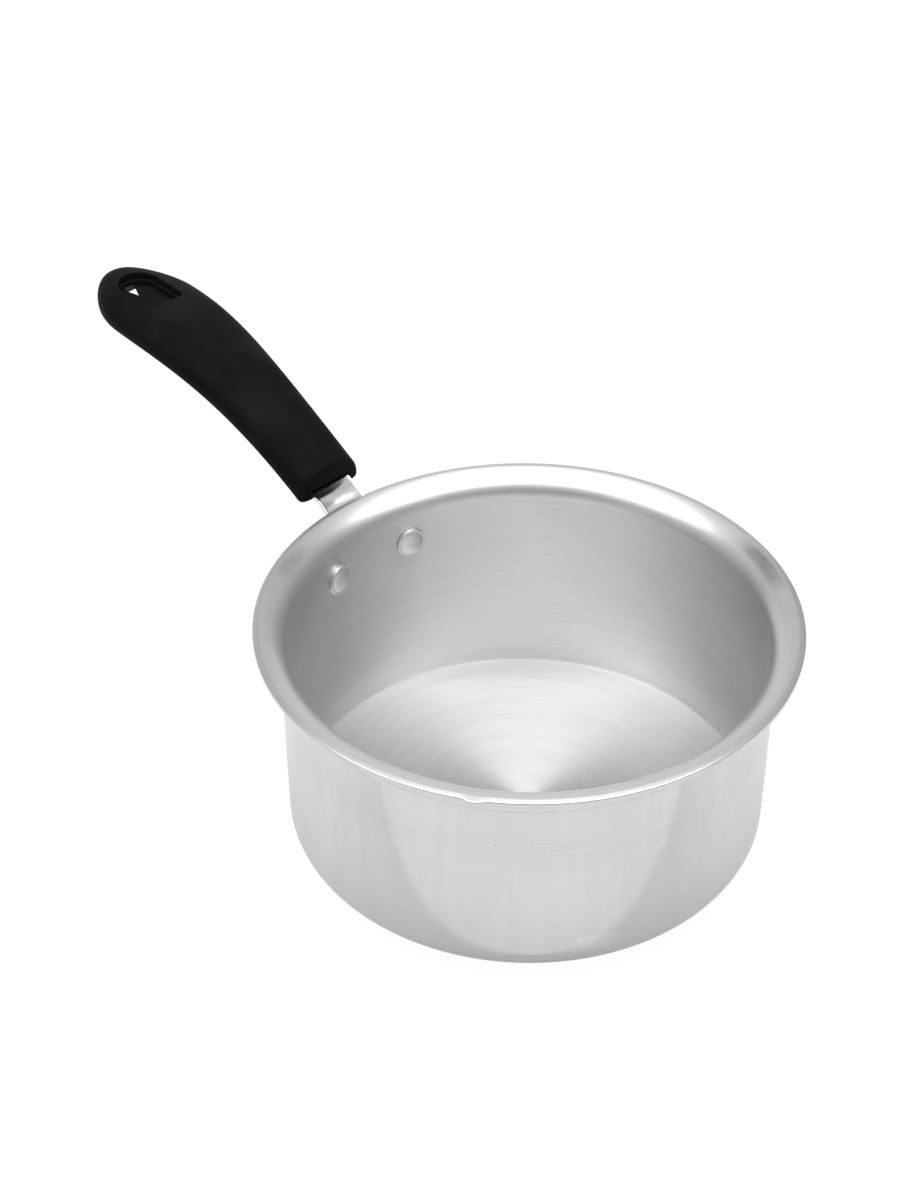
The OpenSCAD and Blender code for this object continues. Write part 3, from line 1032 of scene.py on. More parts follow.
@dataclass
class StrapLine:
    """Middle line of the bracket's strap: up the wall, through the bend, out to the tang."""

    plate_r: float = PLATE_R
    strap_t: float = STRAP_T
    strap_rise: float = 22.0
    tang_rise: float = 31.0
    tang_len: float = 28.0
    bend_r: float = 5.0
    rivet_z: float = RIVET_Z
    lip_z: float = 80.5
    lip_gap: float = 2.0
    rim_r: float = RIM_R
    mouth_reach: float = 11.0
    kink_thicknesses: float = 1.5

    @property
    def leg_x(self) -> float:
        """Distance of the upright leg from the pan's axis."""
        return self.plate_r + self.strap_t / 2.0

    @property
    def bend_mid_r(self) -> float:
        """Radius of the bend on the middle line."""
        return self.bend_r + self.strap_t / 2.0

    @property
    def bend_centre(self) -> tuple[float, float]:
        """Centre of the bend, from the height at which the strap passes under the lip."""
        rise = math.radians(self.strap_rise)
        outer = self.bend_mid_r + self.strap_t / 2.0
        x = self.leg_x + self.bend_mid_r
        top = self.lip_z - self.lip_gap
        before_lip = (x - outer * math.sin(rise) - self.rim_r) * math.tan(rise)
        return x, top + before_lip - outer * math.cos(rise)

    @property
    def mouth(self) -> tuple[float, float]:
        """Place of the middle line at the grip's mouth."""
        rise = math.radians(self.strap_rise)
        top = self.lip_z - self.lip_gap
        return (
            self.rim_r + self.mouth_reach,
            top + self.mouth_reach * math.tan(rise) - self.strap_t / 2.0 / math.cos(rise),
        )

    @property
    def kink_lead(self) -> float:
        """Distance along X from the grip's mouth to the kink."""
        return self.kink_thicknesses * self.strap_t

    @property
    def kink(self) -> tuple[float, float]:
        """Place where the strap turns into the steeper tang."""
        climb = self.kink_lead * math.tan(math.radians(self.strap_rise))
        return self.mouth[0] + self.kink_lead, self.mouth[1] + climb

    def run(self, start_z: float) -> tuple[Array, Array]:
        """Points and directions of the middle line, densely spaced.

        Args:
            start_z: Height at which the line starts on the upright leg.

        Returns:
            Points (x, z) and the direction at each, in radians.
        """
        x, z = self.bend_centre
        first = (self.leg_x, start_z)
        leg = np.concatenate([[first], line(first, (self.leg_x, z), steps=90)])
        bend = arc((x, z), self.bend_mid_r, 180, 90 + self.strap_rise, steps=24)
        strap = line(tuple(bend[-1]), self.kink, steps=40)
        slope = math.radians(self.tang_rise)
        end = (self.kink[0] + self.tang_len * math.cos(slope), self.kink[1] + self.tang_len * math.sin(slope))
        tang = np.concatenate([line(self.kink, end, steps=12), [end]])
        points = np.concatenate([leg, bend, strap, tang])
        angles = np.concatenate([
            np.full(len(leg), 90.0),
            np.linspace(90.0, self.strap_rise, len(bend)),
            np.full(len(strap), self.strap_rise),
            np.full(len(tang), self.tang_rise),
        ])
        return points, np.radians(angles)


@dataclass
class Bracket:
    """Bent sheet bracket: a curved riveted plate, a strap under the lip and a tang in the grip."""

    course: StrapLine
    strap_w: float = STRAP_W
    plate_w: float = 48.0
    plate_h: float = 17.0
    plate_corner: float = 5.0
    shoulder_r: float = 3.0
    edge_r: float = 0.35
    dish: float = 0.35
    flange_r: float = 1.0
    flange_h: float = 0.45
    flange_turn: float = 0.95
    plate_clear: float = 0.5
    ridge_h: float = 0.5
    ridge_tilt: float = 0.75
    ridge_x: float = 97.4
    ridge_half: float = 4.4
    crisp_rows: tuple[float, ...] = (0.02, 0.15, 0.4)
    end_rows: tuple[float, ...] = (0.1, 0.3, 0.8)
    face_steps: int = 72
    edge_steps: int = 4
    pieces: list[bpy.types.Object] = field(default_factory=list)

    def half_width(self, height: Array) -> Array:
        """Half width of the sheet at a distance above the plate's middle.

        Inside the plate it is the plate's half width, drawn in by the corner circle near both
        edges. Above it, it is the strap's half width, widened by the shoulder's circle.

        Args:
            height: Distance above the plate's middle along the sheet.

        Returns:
            The half width at each distance.
        """
        half, corner = self.plate_h / 2.0, self.plate_corner
        into_corner = np.clip(np.abs(height) - (half - corner), 0.0, corner)
        plate = self.plate_w / 2.0 - corner + np.sqrt(corner ** 2 - into_corner ** 2)
        above = np.clip(height - half, 0.0, self.shoulder_r)
        curve = np.sqrt(np.maximum(self.shoulder_r ** 2 - (self.shoulder_r - above) ** 2, 0.0))
        strap = self.strap_w / 2.0 + self.shoulder_r - curve
        return np.where(height <= half, plate, strap)

    def section(self) -> tuple[Array, Array, Array]:
        """Rounded section of the sheet: upper face, right edge, lower face and left edge.

        Returns:
            Sign of each point's side, its share of the flat half width, and its angle round the edge.
        """
        flat = np.linspace(-1.0, 1.0, self.face_steps)
        edge = np.radians(np.linspace(90.0, -90.0, 2 * self.edge_steps + 1))[1:-1]
        share = np.concatenate([flat, np.ones(len(edge)), flat[::-1], -np.ones(len(edge))])
        upright = np.full(len(flat), np.pi / 2.0)
        return np.sign(share), share, np.concatenate([upright, edge, -upright, -edge])

    def build(self) -> None:
        """Carries the rounded section along the middle line and bends the plate round the wall.

        A point of the sheet at height h above the middle line and at v across lies at
        (x, v, z) + h * normal in the strap, and at the same height on a circle round the pan's axis
        in the plate. The share of the two runs from 1 in the plate to 0 at the bend.
        """
        half, t, radius = self.plate_h / 2.0, self.course.strap_t / 2.0, self.edge_r
        start = self.course.rivet_z - half
        points, angles = self.with_edge_steps(*self.course.run(start), start)
        along = path_length(points)
        width = self.half_width(along - half)
        side, share, around = self.section()
        shrink = self.end_shrink(along)
        flat_half = (width - radius - shrink)[:, None]
        across = share[None, :] * flat_half + side[None, :] * radius * np.cos(around)[None, :]
        face = (t - radius) * np.sign(np.sin(around)) + radius * np.sin(around)
        face = np.where(np.abs(np.sin(around)) < ANGLE_GUARD, 0.0, face)
        rise = face[None, :] * (1.0 - shrink / t)[:, None]
        rise = rise + self.flange_lift(points[:, 1], points[:, 0], width, across)
        x = points[:, :1] - rise * np.sin(angles)[:, None]
        z = points[:, 1:] + rise * np.cos(angles)[:, None]
        circle = self.course.plate_r + t - rise
        bent_x = np.sqrt(np.maximum(circle ** 2 - across ** 2, 0.0))
        curved = 1.0 - smooth_step(points[:, 1], self.course.rivet_z + half, self.course.bend_centre[1])
        curved = np.where(angles < np.pi / 2.0 - ANGLE_GUARD, 0.0, curved)[:, None]
        rings = np.stack([x * (1.0 - curved) + bent_x * curved, across, z], axis=-1)
        name = "handle_bracket_sheet"
        self.pieces = [closed_skin(name, rings[:, ::-1], rings[0].mean(axis=0), rings[-1].mean(axis=0))]

    def flange_lift(self, heights: Array, reach: Array, width: Array, across: Array) -> Array:
        """How far the strap is dished and its two long edges are turned up, as a shallow channel.

        The dish is d * (v / w)^2, where v is the place across and w the half width. The turned edge
        is h * (1 - sqrt(1 - s^2)), scaled to reach h at the edge, where s runs from 0 at the
        distance flange_r inside the edge to flange_turn at it. Both grow from 0 above the plate. A
        low ridge, one cosine wave across the strap's run, lies between the lip and the grip and is
        higher on the left.

        Args:
            heights: Height of each row of the sheet.
            reach: Distance of each row from the pan's axis.
            width: Half width of each row.
            across: Place of each point across the sheet.

        Returns:
            The lift of each point.
        """
        width = width[:, None]
        inside_edge = (np.abs(across) - (width - self.flange_r)) / self.flange_r
        s = np.clip(inside_edge, 0.0, 1.0) * self.flange_turn
        curve = (1.0 - np.sqrt(1.0 - s ** 2)) / (1.0 - math.sqrt(1.0 - self.flange_turn ** 2))
        plate_top = self.course.rivet_z + self.plate_h / 2.0
        foot = max(self.course.bend_centre[1], plate_top + self.plate_clear)
        grown = smooth_step(heights, foot, foot + self.course.bend_r)
        dished = self.dish * np.minimum(np.abs(across) / width, 1.0) ** 2
        wave = 0.5 + 0.5 * np.cos(np.pi * np.clip((reach - self.ridge_x) / self.ridge_half, -1.0, 1.0))
        tilt = 1.0 + self.ridge_tilt * np.clip(across / width, -1.0, 1.0)
        return (self.flange_h * curve + dished) * grown[:, None] + self.ridge_h * wave[:, None] * tilt

    def with_edge_steps(self, points: Array, angles: Array, start: float) -> tuple[Array, Array]:
        """Adds close rows at the sheet's lower end and where the plate ends in the strap.

        Args:
            points: Points of the middle line.
            angles: Direction at each point, in radians.
            start: Height of the sheet's lower end.

        Returns:
            Points and directions with the new rows among those of the upright leg.
        """
        crisp = np.array(self.crisp_rows)
        edge = start + self.plate_h
        last_leg = int(np.argmax(np.abs(angles - np.pi / 2.0) > ANGLE_GUARD))
        heights = np.unique(np.concatenate([
            points[:last_leg, 1], edge - crisp, edge + crisp, start + np.array(self.end_rows)]))
        on_leg = np.stack([np.full(len(heights), self.course.leg_x), heights], axis=1)
        return (
            np.concatenate([on_leg, points[last_leg:]]),
            np.concatenate([np.full(len(heights), np.pi / 2.0), angles[last_leg:]]),
        )

    def end_shrink(self, along: Array) -> Array:
        """How far the sheet is drawn in at its two ends, so that their edges are rounded."""
        near = np.minimum(along, along[-1] - along)
        share = np.clip(near / self.edge_r, 0.0, 1.0)
        return self.edge_r * (1.0 - np.sqrt(1.0 - (1.0 - share) ** 2))

    def dress(self, shaders: Shaders) -> None:
        """Gives the sheet its tumbled finish and stands it for the CAD node."""
        sheet = self.pieces[0]
        sheet.data.set_sharp_from_angle(angle=math.radians(40.0))
        sheet.data.materials.append(TumbledSheet("tumbled_sheet").material(shaders))
        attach(sheet, BODY)
        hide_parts("handle_bracket")


@dataclass
class Rivet:
    """Solid rivet: a flat head inside the pan, a shank and a closed head on the plate."""

    side: Side
    inner_r: float = INNER_R
    plate_out_r: float = PLATE_R + STRAP_T
    rivet_z: float = RIVET_Z
    angle: float = 11.906
    head_r: float = 5.5
    head_h: float = 1.7
    tail_r: float = 4.5
    tail_h: float = 1.8
    shank_r: float = 2.5
    shank_clear: float = 0.02
    seat_gap: float = 0.05
    side_share: float = 0.42
    edge_share: float = 0.18
    ring_share: float = 0.78
    ring_slope: float = 0.02
    ring_rise: float = 0.03
    step_share: float = 0.05
    step_run: float = 0.35
    dome_share: float = 0.94
    foot: tuple[float, float] = (0.08, 0.05)
    pole_r: float = 0.08
    segments: int = 96
    pieces: list[bpy.types.Object] = field(default_factory=list)

    def head(self, radius: float, height: float) -> Array:
        """Section of a pressed head, from its foot to near its middle.

        An upright side climbs to a rounded edge and a nearly flat ring. Inside the ring, a soft step
        leads up to a low dome: z = top - (top - step) * (r / ring)^2.

        Args:
            radius: Radius of the head.
            height: Height of the head.

        Returns:
            Points (r, z) from the foot inwards.
        """
        edge_r, side = height * self.edge_share, height * self.side_share
        ring, step = radius * self.ring_share, height * self.step_share
        level = side + edge_r
        edge = arc((radius - edge_r, side), edge_r, 0, 80, steps=16)
        reach = np.linspace(radius - edge_r * 1.1, self.pole_r, 60)
        flat = np.minimum(level + self.ring_slope * (radius - reach), level + self.ring_rise)
        climb = step * (1.0 - smooth_step(reach, ring - self.step_run, ring))
        dome = (height - level - step) * np.clip(1.0 - (reach / ring) ** 2, 0.0, 1.0)
        face = np.stack([reach, flat + climb + dome * self.dome_share], axis=1)
        foot_in, foot_rise = self.foot
        return np.concatenate([[[radius - foot_in, 0.0], [radius, foot_rise]], edge, face])

    def build(self) -> None:
        """Turns both heads and the shank in one closed skin, and sets the heads on the curved faces.

        Along the rivet's axis, the foot of the flat head lies on the circle of the wall's inside and
        the foot of the closed head on the circle of the plate's outside.
        """
        inner = self.head(self.head_r, self.head_h)
        tail = self.head(self.tail_r, self.tail_h)
        inner_foot = self.inner_r - self.seat_gap
        outer_foot = self.plate_out_r + self.seat_gap
        head = np.stack([inner[:, 0], inner_foot - inner[:, 1]], axis=1)[::-1]
        shank = np.array([
            [self.shank_r, inner_foot + self.shank_clear], [self.shank_r, outer_foot - self.shank_clear]])
        closed = np.stack([tail[:, 0], outer_foot + tail[:, 1]], axis=1)
        rings = lathe_rings(np.concatenate([head, shank, closed]), segments=self.segments)
        fall = np.concatenate([
            np.full(len(head), self.inner_r), [self.inner_r, self.plate_out_r],
            np.full(len(closed), self.plate_out_r)])
        rings[..., 2] -= fall[:, None] - np.sqrt(fall[:, None] ** 2 - rings[..., 1] ** 2)
        points = self.placed(rings)
        first = self.placed(np.array([0.0, 0.0, head[0, 1]]))
        last = self.placed(np.array([0.0, 0.0, closed[-1, 1]]))
        name = f"rivet_{self.side.name.lower()}_set"
        self.pieces = [closed_skin(name, points, first, last)]

    def placed(self, local: Array) -> Array:
        """Turns (across, around, along the rivet) into x, y, z at the rivet's place."""
        turn = math.radians(self.side.value * self.angle)
        across, around, along = local[..., 0], local[..., 1], local[..., 2]
        return np.stack([
            along * math.cos(turn) - around * math.sin(turn),
            along * math.sin(turn) + around * math.cos(turn),
            self.rivet_z - across,
        ], axis=-1)

    def dress(self, shaders: Shaders) -> None:
        """Gives the rivet its pressed finish and stands it for the CAD node."""
        rivet = self.pieces[0]
        rivet.data.set_sharp_from_angle(angle=math.radians(50.0))
        finish = TumbledSheet(
            f"pressed_rivet_{self.side.name.lower()}", colour=(0.96, 0.96, 0.95),
            dull_colour=(0.90, 0.90, 0.89), roughness=0.36, roughness_gain=0.06,
            patch_scale=7000.0, wave_depth=0.000006)
        rivet.data.materials.append(finish.material(shaders))
        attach(rivet, BODY)
        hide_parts(f"rivet_{self.side.name.lower()}")


@dataclass
class Grip:
    """Moulded grip: a flattened oval section carried along a curve, with its pocket and holes."""

    course: StrapLine
    length: float = 125.0
    climb: float = 28.6
    root_rise: float = 27.5
    tip_rise: float = 2.0
    lift: float = 0.6
    neck_w: float = 26.4
    widest_w: float = 36.4
    tail_w: float = 31.2
    tip_len: float = 32.0
    crown_neck: float = 7.6
    crown_tip: float = 6.7
    belly_neck: float = 3.2
    belly_mid: float = 5.2
    root_pull: float = 0.55
    tip_pull: float = 0.31
    widest_share: float = 0.7
    belly_share: float = 0.5
    crown_power: float = 2.2
    belly_power: float = 3.0
    tip_power: float = 8.0
    crown_round: float = 1.0
    side_round: float = 1.8
    belly_round: float = 2.6
    mouth_steps: int = 8
    mouth_shares: tuple[float, ...] = (0.25, 0.5, 0.75)
    mouth_middle: float = 1.0
    mouth_fade: float = 0.2
    pocket_len: float = 24.5
    pocket_w: float = 15.2
    pocket_depth: float = 5.8
    ledge_depth: float = 3.4
    ledge_w: float = 0.7
    pocket_corner: float = 2.5
    pocket_end: float = 11.1
    pocket_round: float = 0.5
    pocket_flank: float = 14.0
    pocket_past: float = 0.6
    pocket_over: float = 5.0
    hook_len: float = 12.4
    hook_reach: float = 1.6
    hook_w: float = 5.2
    hook_flare: float = 5.0
    hook_over: float = 1.5
    hook_under: float = 0.2
    screw_reach: float = 20.0
    screw_head_r: float = 3.9
    screw_seat: float = 2.0
    screw_bore: float = 2.6
    screw_flare: float = 2.0
    socket_w: float = STRAP_W
    socket_clear: float = 0.1
    socket_lead: float = 14.0
    flange_room: float = 1.2
    rings: int = 150
    columns: int = 128
    pieces: list[bpy.types.Object] = field(default_factory=list)

    @property
    def root(self) -> Array:
        """First point of the middle line, at the mouth."""
        x, z = self.course.mouth
        return np.array([x, z + self.lift])

    @property
    def tip(self) -> Array:
        """Last point of the middle line, at the tip."""
        return self.root + np.array([self.length, self.climb])

    @property
    def chord(self) -> float:
        """Straight distance from the root to the tip."""
        return math.hypot(self.length, self.climb)

    def controls(self) -> Array:
        """The four control points of the middle line."""
        rise, fall = math.radians(self.root_rise), math.radians(self.tip_rise)
        second = self.root + self.root_pull * self.chord * np.array([math.cos(rise), math.sin(rise)])
        third = self.tip - self.tip_pull * self.chord * np.array([math.cos(fall), math.sin(fall)])
        return np.stack([self.root, second, third, self.tip])

    def middle(self, t: Array) -> tuple[Array, Array, Array]:
        """Middle line: a cubic curve for t from 0 to 1, and its straight tangent before 0.

        The curve is (1-t)^3 a + 3 (1-t)^2 t b + 3 (1-t) t^2 c + t^3 d.

        Args:
            t: Places along the line.

        Returns:
            x, z and the direction in radians at each place.
        """
        a, b, c, d = self.controls()
        s = np.maximum(t, 0.0)[..., None]
        before = np.minimum(t, 0.0)[..., None]
        place = (1 - s) ** 3 * a + 3 * (1 - s) ** 2 * s * b + 3 * (1 - s) * s * s * c + s ** 3 * d
        slope = 3 * (1 - s) ** 2 * (b - a) + 6 * (1 - s) * s * (c - b) + 3 * s * s * (d - c)
        rise = math.radians(self.root_rise)
        place = place + before * self.chord * np.array([math.cos(rise), math.sin(rise)])
        return place[..., 0], place[..., 1], np.arctan2(slope[..., 1], slope[..., 0])

    def spans(self, t: Array) -> tuple[Array, Array, Array]:
        """Half width, crown height and belly depth along the grip.

        The width swells by a cosine to its widest place, closes by a square to the tail and is
        rounded by sqrt(1 - q^2) in the tip. Crown and belly are rounded by sqrt(1 - q^8), where q
        runs from 0 where the tip starts to 1 at its end.

        Args:
            t: Places along the middle line.

        Returns:
            Half width, crown and belly at each place.
        """
        s = np.clip(t, 0.0, 1.0)
        q = np.clip(1.0 - (1.0 - s) * self.chord / self.tip_len, 0.0, 1.0)
        swell = (1.0 - np.cos(np.pi * np.minimum(s / self.widest_share, 1.0))) / 2.0
        close = np.clip((s - self.widest_share) / (1.0 - self.widest_share), 0.0, 1.0) ** 2
        width = self.neck_w + (self.widest_w - self.neck_w) * swell + (self.tail_w - self.widest_w) * close
        thin = np.sqrt(1.0 - q ** self.tip_power)
        crown = (self.crown_neck + (self.crown_tip - self.crown_neck) * s) * thin
        deep = np.sin(np.pi / 2.0 * np.minimum(s / self.belly_share, 1.0))
        belly = (self.belly_neck + (self.belly_mid - self.belly_neck) * deep) * thin
        return width / 2.0 * np.sqrt(1.0 - q ** 2), crown, belly

    def skin(self, t: Array, angle: Array, inset: Array) -> Array:
        """Points of the skin: a superellipse square to the middle line.

        Across is w cos^p and up is h sin^p, with p = 2 / 2.2 over the crown and 2 / 3 under the
        belly. The inset makes w and h smaller.

        Args:
            t: Place of each point along the middle line.
            angle: Angle of each point round the section, in radians.
            inset: How far each point is drawn in.

        Returns:
            Points x, y, z.
        """
        x, z, slope = self.middle(t)
        width, crown, belly = self.spans(t)
        cosine, sine = np.cos(angle), np.sin(angle)
        upper = sine >= 0.0
        power = np.where(upper, 2.0 / self.crown_power, 2.0 / self.belly_power)
        width = np.maximum(width - inset, 0.0)
        height = np.maximum(np.where(upper, crown, belly) - inset, 0.0)
        across = width * np.sign(cosine) * np.abs(cosine) ** power
        rise = height * np.sign(sine) * np.abs(sine) ** power
        return np.stack([x - rise * np.sin(slope), across, z + rise * np.cos(slope)], axis=-1)

    def start_at(self, angle: Array, inset: Array, level: Array) -> Array:
        """Place t at which each line of the skin meets a level x, found by halving steps.

        Args:
            angle: Angle of each line round the section.
            inset: How far each line is drawn in.
            level: The x that each line has to meet.

        Returns:
            The place t of each line.
        """
        reach, halvings = 0.2, 30
        low, high = np.full(len(angle), -reach), np.full(len(angle), reach)
        for _ in range(halvings):
            middle = (low + high) / 2.0
            before = self.skin(middle, angle, inset)[:, 0] < level
            low, high = np.where(before, middle, low), np.where(before, high, middle)
        return (low + high) / 2.0

    def build(self) -> None:
        """Builds the skin and cuts the socket, the pocket, the hook hole and the screw's seat.

        The flat mouth's edge is a quarter circle whose radius changes with the sine of the angle,
        from side_round to crown_round above and to belly_round below. Past it the rows close up to
        even places along the middle line.
        """
        angle = np.linspace(0.0, 2.0 * np.pi, self.columns, endpoint=False)
        sine = np.sin(angle)
        most = np.where(sine >= 0.0, self.crown_round, self.belly_round)
        rounding = self.side_round + (most - self.side_round) * sine ** 2
        rows = []
        level = self.root[0]
        for turn in np.radians(np.linspace(90.0, 0.0, self.mouth_steps + 1)):
            inset = rounding * (1.0 - math.cos(turn))
            t = self.start_at(angle, inset, level + rounding * (1.0 - math.sin(turn)))
            rows.append(self.skin(t, angle, inset))
        first = np.array([level, 0.0, self.root[1] + self.mouth_middle])
        face = [first + (rows[0] - first) * share for share in self.mouth_shares]
        way = 1.0 - (1.0 - np.arange(1, self.rings) / self.rings) ** 2
        fade = np.clip(1.0 - way / self.mouth_fade, 0.0, 1.0) ** 2
        places = way[:, None] + t[None, :] * fade[:, None]
        main = self.skin(places, np.broadcast_to(angle, places.shape), np.zeros(places.shape))
        rings = np.concatenate([np.array(face), np.array(rows), main])
        last = np.array([self.tip[0], 0.0, self.tip[1]])
        grip = closed_skin("grip_moulding", rings[:, ::-1], first, last)
        cutters = [self.socket(), self.pocket(), self.hook_hole(), self.screw_seat_hole()]
        subtract(grip, cutters, sharp_degrees=35.0)
        self.pieces = [grip]

    def socket(self) -> bpy.types.Object:
        """Room for the tang: a flat box along the strap's line, a little wider than the tang."""
        course = self.course
        clear = self.socket_clear
        half_w, half_t = self.socket_w / 2.0 + clear, course.strap_t / 2.0 + clear
        steep, flat = math.radians(course.tang_rise), math.radians(course.strap_rise)
        kink = np.array(course.kink)
        start = kink - self.socket_lead * np.array([math.cos(flat), math.sin(flat)])
        end = kink + (course.tang_len + clear) * np.array([math.cos(steep), math.sin(steep)])
        places = np.stack([start, kink, end])
        turns = np.array([flat, (flat + steep) / 2.0, steep])
        normal = np.stack([-np.sin(turns), np.cos(turns)], axis=1)
        across = np.broadcast_to(half_w * np.array([-1, 1, 1, -1]), (len(places), 4))
        rise = np.array([-half_t, -half_t, half_t + self.flange_room, half_t + self.flange_room])
        x = places[:, :1] + normal[:, :1] * rise
        z = places[:, 1:] + normal[:, 1:] * rise
        rings = np.stack([x, across, z], axis=-1)
        return closed_skin("socket_cut", rings, rings[0].mean(axis=0), rings[-1].mean(axis=0))

    def crown_at(self, x: Array, y: Array) -> Array:
        """Height of the crown over places of the plan, read from a fine run of the middle line.

        Args:
            x: Distance of each place from the pan's axis, along the handle.
            y: Distance of each place from the handle's plane.

        Returns:
            The height of the crown there.
        """
        near_tip, least_width = 0.999, 0.01
        t = np.linspace(0.4, near_tip, 600)
        line_x, line_z, slope = self.middle(t)
        width, crown, _ = self.spans(t)
        top_x = line_x - crown * np.sin(slope)
        at_z = np.interp(x, top_x, line_z)
        at_w = np.interp(x, top_x, width)
        at_c = np.interp(x, top_x, crown * np.cos(slope))
        share = np.clip(np.abs(y) / np.maximum(at_w, least_width), 0.0, 1.0)
        return at_z + at_c * (1.0 - share ** self.crown_power) ** (1.0 / self.crown_power)

    def pocket_ring(self, grow: float) -> Array:
        """Outline of the pocket, grown by a distance: a full round end and two small corners.

        Each point is the centre of its arc plus (radius + grow) * (cos a, sin a).

        Args:
            grow: Distance that the outline is grown by.

        Returns:
            Points x, y of the closed outline.
        """
        half, corner = self.pocket_w / 2.0, self.pocket_corner
        far = self.tip[0] - self.pocket_end
        near = far - self.pocket_len + corner
        tip = arc((far - half, 0.0), half + grow, -90, 90, steps=40)
        left = arc((near, half - corner), corner + grow, 90, 180, steps=12)
        right = arc((near, corner - half), corner + grow, 180, 270, steps=12)
        return np.concatenate([
            tip, line(tuple(tip[-1]), tuple(left[0]), steps=12),
            left, line(tuple(left[-1]), tuple(right[0]), steps=10),
            right, line(tuple(right[-1]), tuple(tip[0]), steps=12),
        ])

    def pocket(self) -> bpy.types.Object:
        """Pocket of the hanging hole: a rounded upper edge, an upright wall, a ledge and a floor.

        The upper edge is a circle of radius r that hangs from the crown: at its angle a it lies
        r (1 - sin a) outside the pocket and r (1 - cos a) under the crown. It starts at the angle
        pocket_flank, and the cutter goes on straight from there past the crown.

        Returns:
            The closed shape that is cut away.
        """
        top_z = self.tip[1] + self.crown_tip
        ledge_z, floor_z = top_z - self.ledge_depth, top_z - self.pocket_depth
        r, start = self.pocket_round, math.radians(self.pocket_flank)
        past = r * (1.0 - math.sin(start)) + self.pocket_past * math.cos(start)
        over = r * (1.0 - math.cos(start)) - self.pocket_past * math.sin(start)
        rows = [self.hung_row(past, over - self.pocket_over), self.hung_row(past, over)]
        for turn in np.linspace(start, math.pi / 2.0, 8):
            rows.append(self.hung_row(r * (1.0 - math.sin(turn)), r * (1.0 - math.cos(turn))))
        soft, ledge_cut, floor_cut, inner = 0.25, 0.07, 0.15, -self.ledge_w
        for grow, z in (
            (0.0, ledge_z + soft), (-ledge_cut, ledge_z + ledge_cut), (-soft, ledge_z),
            (inner + soft, ledge_z), (inner + ledge_cut, ledge_z - ledge_cut), (inner, ledge_z - soft),
            (inner, floor_z + 2 * soft), (inner - floor_cut, floor_z + floor_cut),
            (inner - 2 * soft, floor_z),
        ):
            rows.append(self.level_row(self.pocket_ring(grow), z))
        rings = np.array(rows)
        return closed_skin("pocket_cut", rings[:, ::-1], rings[0].mean(axis=0), rings[-1].mean(axis=0))

    @staticmethod
    def level_row(outline: Array, z: float) -> Array:
        """Row of points x, y, z of a flat outline at one height."""
        return np.column_stack([outline, np.full(len(outline), z)])

    def hung_row(self, grow: float, depth: float) -> Array:
        """Outline of the pocket at a depth under the crown that it is cut in."""
        outline = self.pocket_ring(grow)
        height = self.crown_at(outline[:, 0], outline[:, 1])
        return np.column_stack([outline, height - depth])

    def hook_hole(self) -> bpy.types.Object:
        """Hook hole in the pocket's floor: a drop-shaped outline that widens towards the underside.

        The drop's half width is drawn straight between six shares of its length and half width.

        Returns:
            The closed shape that is cut away.
        """
        floor_z = self.tip[1] + self.crown_tip - self.pocket_depth
        belly_z = self.tip[1] - self.belly_mid - 0.5
        drop_way, drop_width = (0, 0.3, 0.5, 0.7, 0.88, 1), (0, 0.1, 0.3, 0.6, 0.92, 1)
        half_l, half_w = self.hook_len / 2.0, self.hook_w / 2.0
        centre = self.tip[0] - self.pocket_end - self.ledge_w - half_l + self.hook_reach
        way = np.linspace(0.0, 1.0, 21)
        upper = np.column_stack([way, np.interp(way, drop_way, drop_width)])
        side = np.concatenate([upper, (upper * [1, -1])[::-1][:-1]])[1:]
        rows = []
        for flare, z in (
            (0.0, floor_z + self.hook_over), (0.0, floor_z - self.hook_under), (self.hook_flare, belly_z),
        ):
            x = centre + (side[:, 0] - 0.5) * 2.0 * (half_l + flare)
            rows.append(self.level_row(np.column_stack([x, side[:, 1] * (half_w + flare)]), z))
        rings = np.array(rows)
        return closed_skin("hook_cut", rings, rings[0].mean(axis=0), rings[-1].mean(axis=0))

    def screw_seat_hole(self) -> bpy.types.Object:
        """Sunk round seat of the screw's head, cut square to the tang from the underside."""
        rise = math.radians(self.course.tang_rise)
        reach = self.screw_reach - self.course.kink_lead
        x = self.course.kink[0] + reach * math.cos(rise)
        z = self.course.kink[1] + reach * math.sin(rise)
        seat = -self.course.strap_t / 2.0 - self.screw_seat
        section = np.array([
            [self.screw_head_r, seat], [self.screw_head_r, seat - self.screw_bore],
            [self.screw_head_r + self.screw_flare, seat - (self.screw_bore + self.screw_flare)]])
        local = lathe_rings(section, segments=64)
        rings = np.stack([
            x + local[..., 0] * math.cos(rise) - local[..., 2] * math.sin(rise),
            local[..., 1],
            z + local[..., 0] * math.sin(rise) + local[..., 2] * math.cos(rise),
        ], axis=-1)
        return closed_skin("screw_cut", rings[:, ::-1], rings[0].mean(axis=0), rings[-1].mean(axis=0))

    def dress(self, shaders: Shaders) -> None:
        """Gives the grip its moulded finish and stands it for the CAD node."""
        grip = self.pieces[0]
        grip.data.materials.clear()
        grip.data.materials.append(MouldedGrip().material(shaders))
        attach(grip, BODY)
        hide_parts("grip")


@dataclass
class GripScrew:
    """The screw under the grip, whose CAD shape is right: it stays and gets its finish."""

    def dress(self, shaders: Shaders) -> None:
        """Gives the CAD node its plated finish."""
        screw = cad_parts["grip_screw"]
        finish = TumbledSheet(
            "plated_screw", colour=(0.62, 0.62, 0.60), dull_colour=(0.42, 0.42, 0.40), roughness=0.28,
            roughness_gain=0.14, patch_scale=16000.0, wave_depth=0.00005)
        screw.data.materials.clear()
        screw.data.materials.append(finish.material(shaders))


# Stage, light and camera


